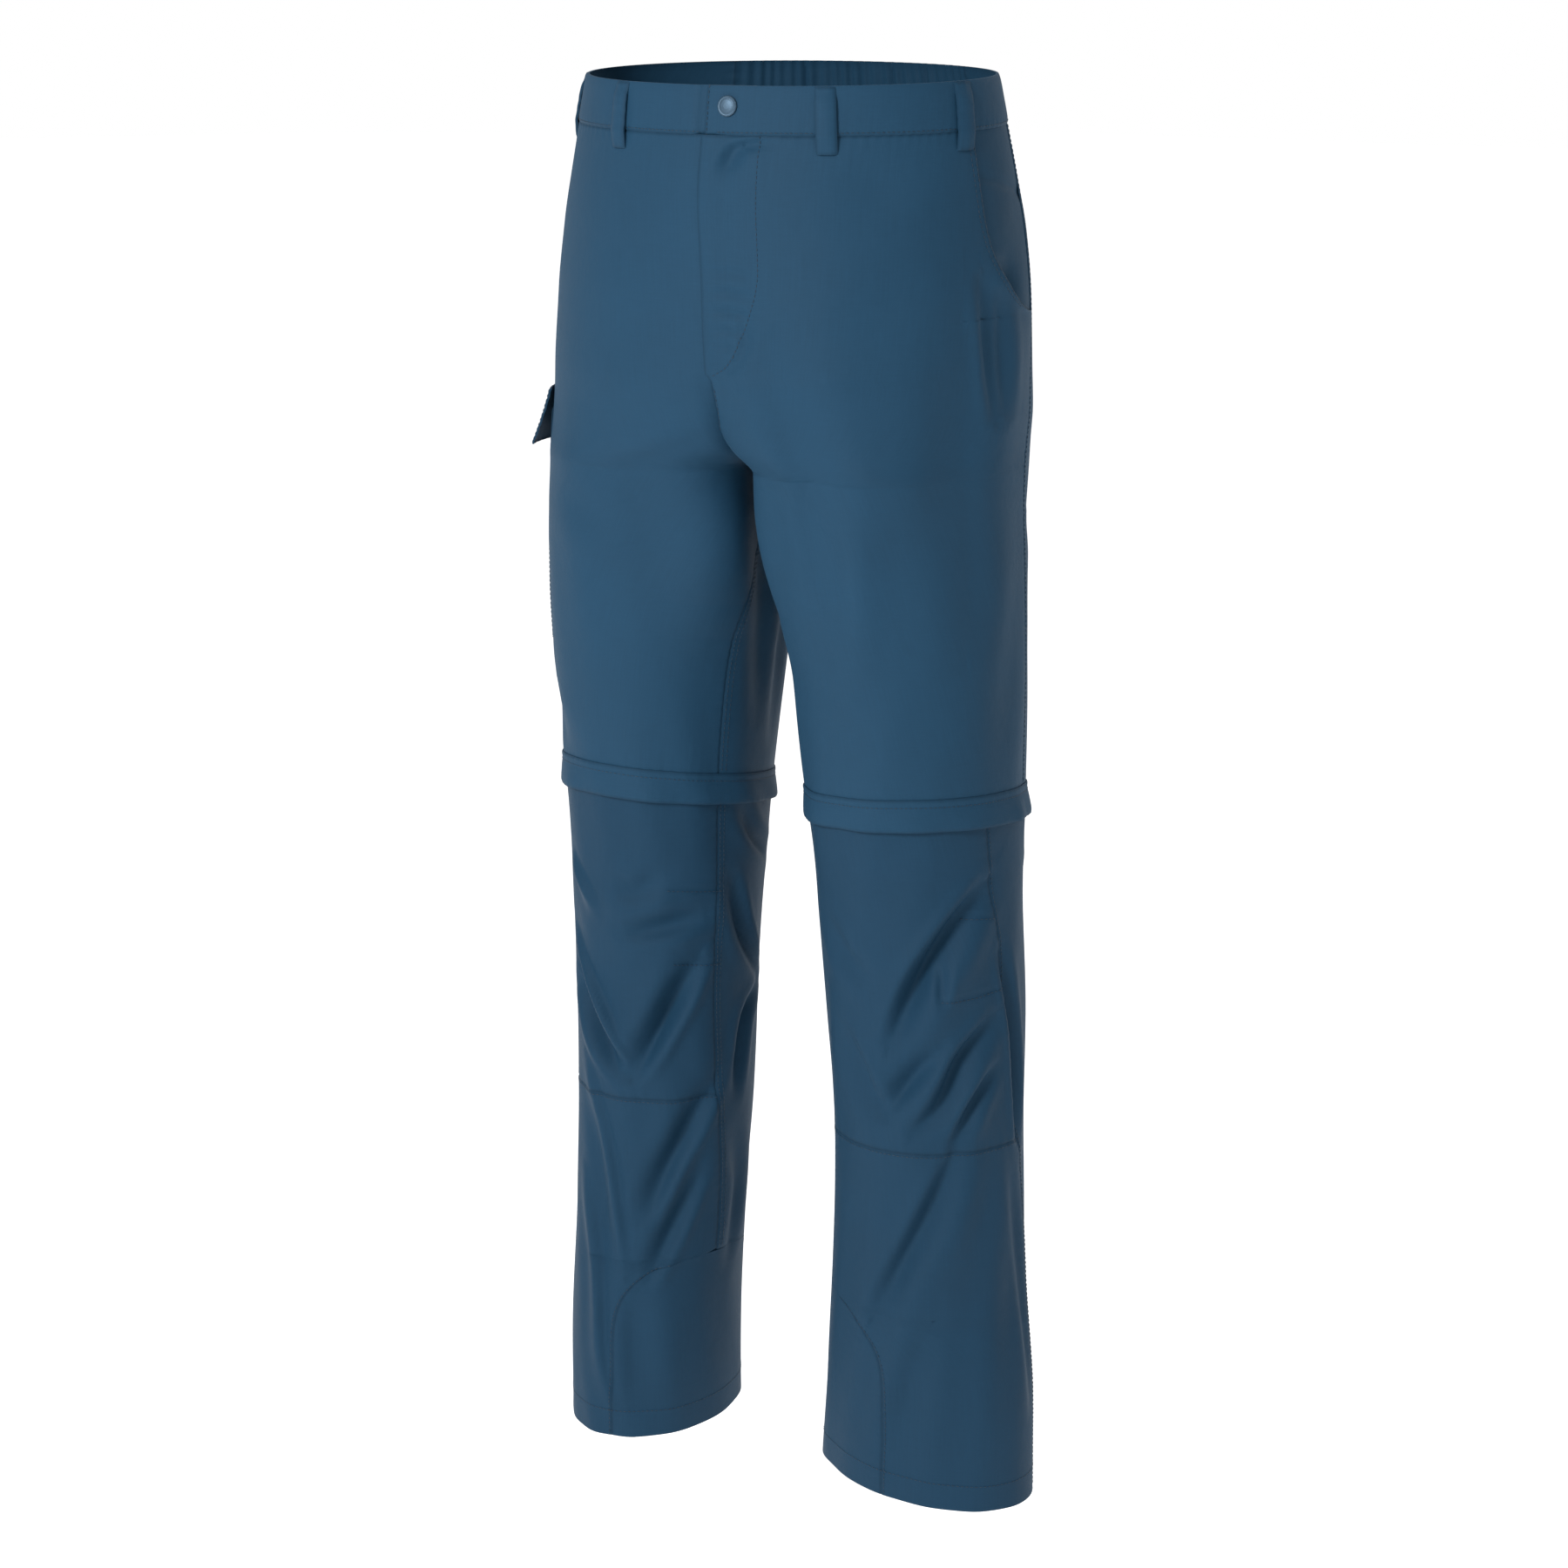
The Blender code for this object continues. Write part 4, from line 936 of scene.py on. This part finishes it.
def lower_front_start(side):
    def angle(level):
        seam = read_table(INSEAM[side], level)[0]
        seam = np.where(level > ARCH_TOP[side], ARCH_CENTRE + arch_spread(side, level, 0.0), seam)
        return seam + turn(side, level, HALF_GAP)
    return angle


def lower_back_end(side):
    def angle(level):
        seam = read_table(INSEAM[side], level)[0]
        seam = np.where(level > ARCH_TOP[side], ARCH_CENTRE - arch_spread(side, level, 0.0), seam)
        return 360.0 + seam - turn(side, level, HALF_GAP)
    return angle


def lower_side(level):
    return read_table(LOWER_SIDE_SEAM, level)[0]


for side in (LEFT, RIGHT):
    top = KNEE_LEVEL[side] + ZIP_HALF
    # Rows close enough at the arch's crown that its edge turns there in even steps.
    shares = np.linspace(0.08, 0.94, 28)
    crown = ARCH_TOP[side] + ARCH_HEIGHT * (1.0 - (1.0 - shares ** ARCH_POWER) ** (1.0 / ARCH_POWER))
    side_end = lambda level: lower_side(level) - turn(side, level, HALF_GAP)
    cloth(side_name("knee_front", side), side, levels_between(top, SHIN_LEVEL - HALF_GAP, FINE),
          lower_front_start(side), side_end, LOWER)
    rows = levels_between(SHIN_LEVEL + HALF_GAP, HEM_LEVEL, FINE, crown)
    cloth(side_name("shin_front", side), side, rows, lower_front_start(side), side_end,
          LOWER, rolled=HEM_OPEN)
    cloth(side_name("lower_back", side), side, levels_between(top, HEM_LEVEL, COARSE, crown),
          lambda level: lower_side(level) + turn(side, level, HALF_GAP), lower_back_end(side),
          LOWER, grid=COARSE, rolled=HEM_OPEN)
    rows = levels_between(ARCH_TOP[side] + 0.00004, HEM_LEVEL, FINE, crown)
    cloth(side_name("ankle_panel", side), side, rows,
          lambda level: ARCH_CENTRE - arch_spread(side, level, SEAM_GAP),
          lambda level: ARCH_CENTRE + arch_spread(side, level, SEAM_GAP),
          LOWER, rolled=(True, True, False, False))


# The snap button: a turned metal cap with a rolled rim, in dark blue-grey lacquer.
snap_finish = Finish("snap_lacquer")
snap_spot = snap_finish.node("ShaderNodeTexCoord", {}, {}, 3)
snap_wear = snap_finish.noise(snap_spot, 420.0, 3.0)
snap_finish.surface(Base_Color=snap_finish.shade((0.038, 0.076, 0.118, 1.0), 0.9 + snap_wear * 0.2),
                    Metallic=0.55, Roughness=0.40 + snap_wear * 0.12)
for material_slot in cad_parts["snap_button"].material_slots:
    material_slot.material = snap_finish.material


# Sewing, in thread of the cloth's own colour. Single rows run beside most seams and round
# the flaps and hems, and double rows beside the pocket mouths and inseams.
STITCH_PITCH = 0.0036
STITCH_LENGTH = 0.0026
STITCH_THICKNESS = 0.00060
STITCH_LIFT = 0.00016
STITCH_STEP = 0.0026
ROW_IN = 0.0022
SECOND_ROW_IN = 0.0058
UNDER_FLAP = 0.0135


def stitch_tree():
    """Short rounded stitches, evenly along each line of the mesh that it is given."""
    tree = bpy.data.node_groups.new("stitches", "GeometryNodeTree")
    tree.interface.new_socket(name="Lines", in_out="INPUT", socket_type="NodeSocketGeometry")
    for name in ("Pitch", "Length", "Thickness"):
        tree.interface.new_socket(name=name, in_out="INPUT", socket_type="NodeSocketFloat")
    tree.interface.new_socket(name="Thread", in_out="INPUT", socket_type="NodeSocketMaterial")
    tree.interface.new_socket(name="Stitches", in_out="OUTPUT", socket_type="NodeSocketGeometry")
    given = tree.nodes.new("NodeGroupInput")
    result = tree.nodes.new("NodeGroupOutput")
    curve = tree.nodes.new("GeometryNodeMeshToCurve")
    points = tree.nodes.new("GeometryNodeCurveToPoints")
    points.mode = "LENGTH"
    stitch = tree.nodes.new("GeometryNodeMeshUVSphere")
    stitch.inputs["Segments"].default_value = 5
    stitch.inputs["Rings"].default_value = 3
    stitch.inputs["Radius"].default_value = 0.5
    size = tree.nodes.new("ShaderNodeCombineXYZ")
    along = tree.nodes.new("GeometryNodeInstanceOnPoints")
    real = tree.nodes.new("GeometryNodeRealizeInstances")
    thread = tree.nodes.new("GeometryNodeSetMaterial")
    for source, target in (
            (given.outputs["Lines"], curve.inputs["Mesh"]),
            (curve.outputs["Curve"], points.inputs["Curve"]),
            (given.outputs["Pitch"], points.inputs["Length"]),
            (points.outputs["Points"], along.inputs["Points"]),
            (points.outputs["Rotation"], along.inputs["Rotation"]),
            (stitch.outputs["Mesh"], along.inputs["Instance"]),
            (given.outputs["Thickness"], size.inputs["X"]),
            (given.outputs["Thickness"], size.inputs["Y"]),
            (given.outputs["Length"], size.inputs["Z"]),
            (size.outputs["Vector"], along.inputs["Scale"]),
            (along.outputs["Instances"], real.inputs["Geometry"]),
            (real.outputs["Geometry"], thread.inputs["Geometry"]),
            (given.outputs["Thread"], thread.inputs["Material"]),
            (thread.outputs["Geometry"], result.inputs["Stitches"])):
        tree.links.new(source, target)
    return tree


STITCHES = stitch_tree()
thread_finish = Finish("thread")
thread_spot = thread_finish.node("ShaderNodeTexCoord", {}, {}, 3)
twist = thread_finish.noise(thread_spot, 2600.0, 1.0)
thread_finish.surface(Base_Color=thread_finish.shade((0.0060, 0.0230, 0.0440, 1.0), 0.75 + twist * 0.5),
                      Roughness=0.5 + twist * 0.1)


def sew(name, lines):
    points = np.concatenate(lines)
    edges = []
    start = 0
    for line in lines:
        edges += [(start + i, start + i + 1) for i in range(len(line) - 1)]
        start += len(line)
    mesh = bpy.data.meshes.new(name + "_lines")
    mesh.from_pydata(points.tolist(), edges, [])
    thing = bpy.data.objects.new(name, mesh)
    bpy.context.scene.collection.objects.link(thing)
    sewing = thing.modifiers.new("stitches", "NODES")
    sewing.node_group = STITCHES
    values = {"Pitch": STITCH_PITCH, "Length": STITCH_LENGTH, "Thickness": STITCH_THICKNESS,
              "Thread": thread_finish.material}
    for socket in STITCHES.interface.items_tree:
        if socket.in_out == "INPUT" and socket.name in values:
            sewing[socket.identifier] = values[socket.name]
    shown = bpy.data.meshes.new_from_object(thing.evaluated_get(bpy.context.evaluated_depsgraph_get()))
    thing.modifiers.remove(sewing)
    thing.data = shown
    shown.shade_smooth()
    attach(thing, "root")
    return thing


def upright_row(side, angle, low, high, aside, lift=None):
    """A row down the cloth, beside a seam whose angle is a function of the level."""
    level = np.arange(low, high, STITCH_STEP)
    turned = angle(level) + turn(side, level, aside)
    out = lift(turned, level) if lift else 0.0
    return place(side, turned, level, out + STITCH_LIFT)


def round_row(side, first, last, level, lift=None):
    """A row round the leg at one level."""
    angles = np.linspace(first, last, max(3, int(abs(last - first) / 1.1)))
    levels = np.full(angles.shape, level)
    out = lift(angles, levels) if lift else 0.0
    return place(side, angles, levels, out + STITCH_LIFT)


def free_row(side, places, lift=None):
    """A row through places (angle, level) of its own."""
    marks = [(number, *spot) for number, spot in enumerate(places)]
    angles, levels = read_table(marks, np.linspace(0.0, len(places) - 1, 12 * len(places)))
    out = lift(angles, levels) if lift else 0.0
    return place(side, angles, levels, out + STITCH_LIFT)


def seam_inside(side):
    """The inseam's angle at each level."""
    return lambda level: read_table(INSEAM[side], level)[0]


band_foot = BAND_DEPTH + 0.002
j_start = float(facing_outer(np.array(0.193)))
shorts_rows = [
    upright_row(LEFT, inner_seam(LEFT), FLY_END_LEVEL + 0.014, FORK_LEVEL, ROW_IN, lap_lift),
    upright_row(LEFT, facing_outer, BAND_DEPTH + 0.001, FLY_END_LEVEL - 0.012, 0.0, lap_lift),
    free_row(LEFT, ((j_start, 0.193), (81.0, 0.202), (76.5, 0.207)), lap_lift),
    upright_row(LEFT, band_end, 0.001, BAND_DEPTH, 0.0016, band_lift),
    round_row(LEFT, 93.0, ELASTIC_ANGLE - 1.0, BAND_DEPTH - ROW_IN, band_lift),
    round_row(RIGHT, 93.0, ELASTIC_ANGLE - 1.0, BAND_DEPTH - ROW_IN, band_lift),
    upright_row(LEFT, back_seam(LEFT), band_foot, FORK_LEVEL, -ROW_IN, gathered_back),
]
for side in (LEFT, RIGHT):
    knee = KNEE_LEVEL[side]
    low = knee - UNDER_FLAP
    mouth, gape = scoop_edge(side), scoop_gape(side)
    shorts_rows += [
        upright_row(side, mouth, band_foot, SCOOP_END_LEVEL - 0.002, -0.0018, gape),
        upright_row(side, mouth, band_foot, SCOOP_END_LEVEL - 0.006, -0.0068, gape),
        upright_row(side, side_seam, band_foot, low, ROW_IN, gathered_back),
        upright_row(side, seam_inside(side), FORK_LEVEL + 0.008, low, -ROW_IN),
        upright_row(side, seam_inside(side), FORK_LEVEL + 0.008, low, -SECOND_ROW_IN),
        round_row(side, 0.0, 360.0, knee - KNEE_FLAP_REACH[0] + 0.0056, flap_hang(side)),
    ]
sew("stitches_shorts", shorts_rows)

lower_rows = []
for side in (LEFT, RIGHT):
    top = KNEE_LEVEL[side] + 0.014
    crown = ARCH_TOP[side]
    low = HEM_LEVEL - 0.001
    shin_start = float(lower_front_start(side)(np.array(SHIN_LEVEL))) + 1.0
    lower_rows += [
        upright_row(side, lower_side, top, low, ROW_IN),
        upright_row(side, seam_inside(side), top, crown - 0.002, -ROW_IN),
        upright_row(side, seam_inside(side), top, crown - 0.002, -SECOND_ROW_IN),
        round_row(side, shin_start, float(lower_side(SHIN_LEVEL)) - 1.0, SHIN_LEVEL + 0.0024),
        upright_row(side, lower_front_start(side), crown + 0.004, low, 0.0024),
        upright_row(side, lower_back_end(side), crown + 0.004, low, -0.0024),
        round_row(side, 0.0, 360.0, HEM_LEVEL - 0.020),
    ]
lower_rows += [
    free_row(LEFT, ((144, 0.6128), (153, 0.6128), (162, 0.6138))),
    free_row(LEFT, ((127, 0.6698), (144, 0.6698), (167, 0.6668))),
    free_row(RIGHT, ((57, 0.6192), (40, 0.6200), (25, 0.6210))),
    free_row(RIGHT, ((53, 0.6765), (40, 0.6790), (24, 0.6800))),
]
sew("stitches_lower_legs", lower_rows)

bag_low = CARGO_LEVELS[1] - ROW_IN
flap_top = CARGO_FLAP_LEVELS[0] + 0.002
flap_low = CARGO_FLAP_LEVELS[1] - ROW_IN
flap_start, flap_end = CARGO_FLAP_ANGLES
cargo_rows = [
    upright_row(RIGHT, edge_at(CARGO_ANGLES[0]), 0.280, bag_low, ROW_IN, cargo_lift),
    upright_row(RIGHT, edge_at(CARGO_ANGLES[1]), 0.280, bag_low, -ROW_IN, cargo_lift),
    round_row(RIGHT, CARGO_ANGLES[0] + 1.0, CARGO_ANGLES[1] - 1.0, bag_low, cargo_lift),
    round_row(RIGHT, flap_start + 1.0, flap_end - 1.0, CARGO_FLAP_LEVELS[0] + ROW_IN, flap_spring),
    round_row(RIGHT, flap_start + 1.0, flap_end - 1.0, flap_low, flap_spring),
    upright_row(RIGHT, edge_at(flap_start), flap_top, flap_low, ROW_IN, flap_spring),
    upright_row(RIGHT, edge_at(flap_end), flap_top, flap_low, -ROW_IN, flap_spring),
]
sew("stitches_cargo_pocket", cargo_rows)
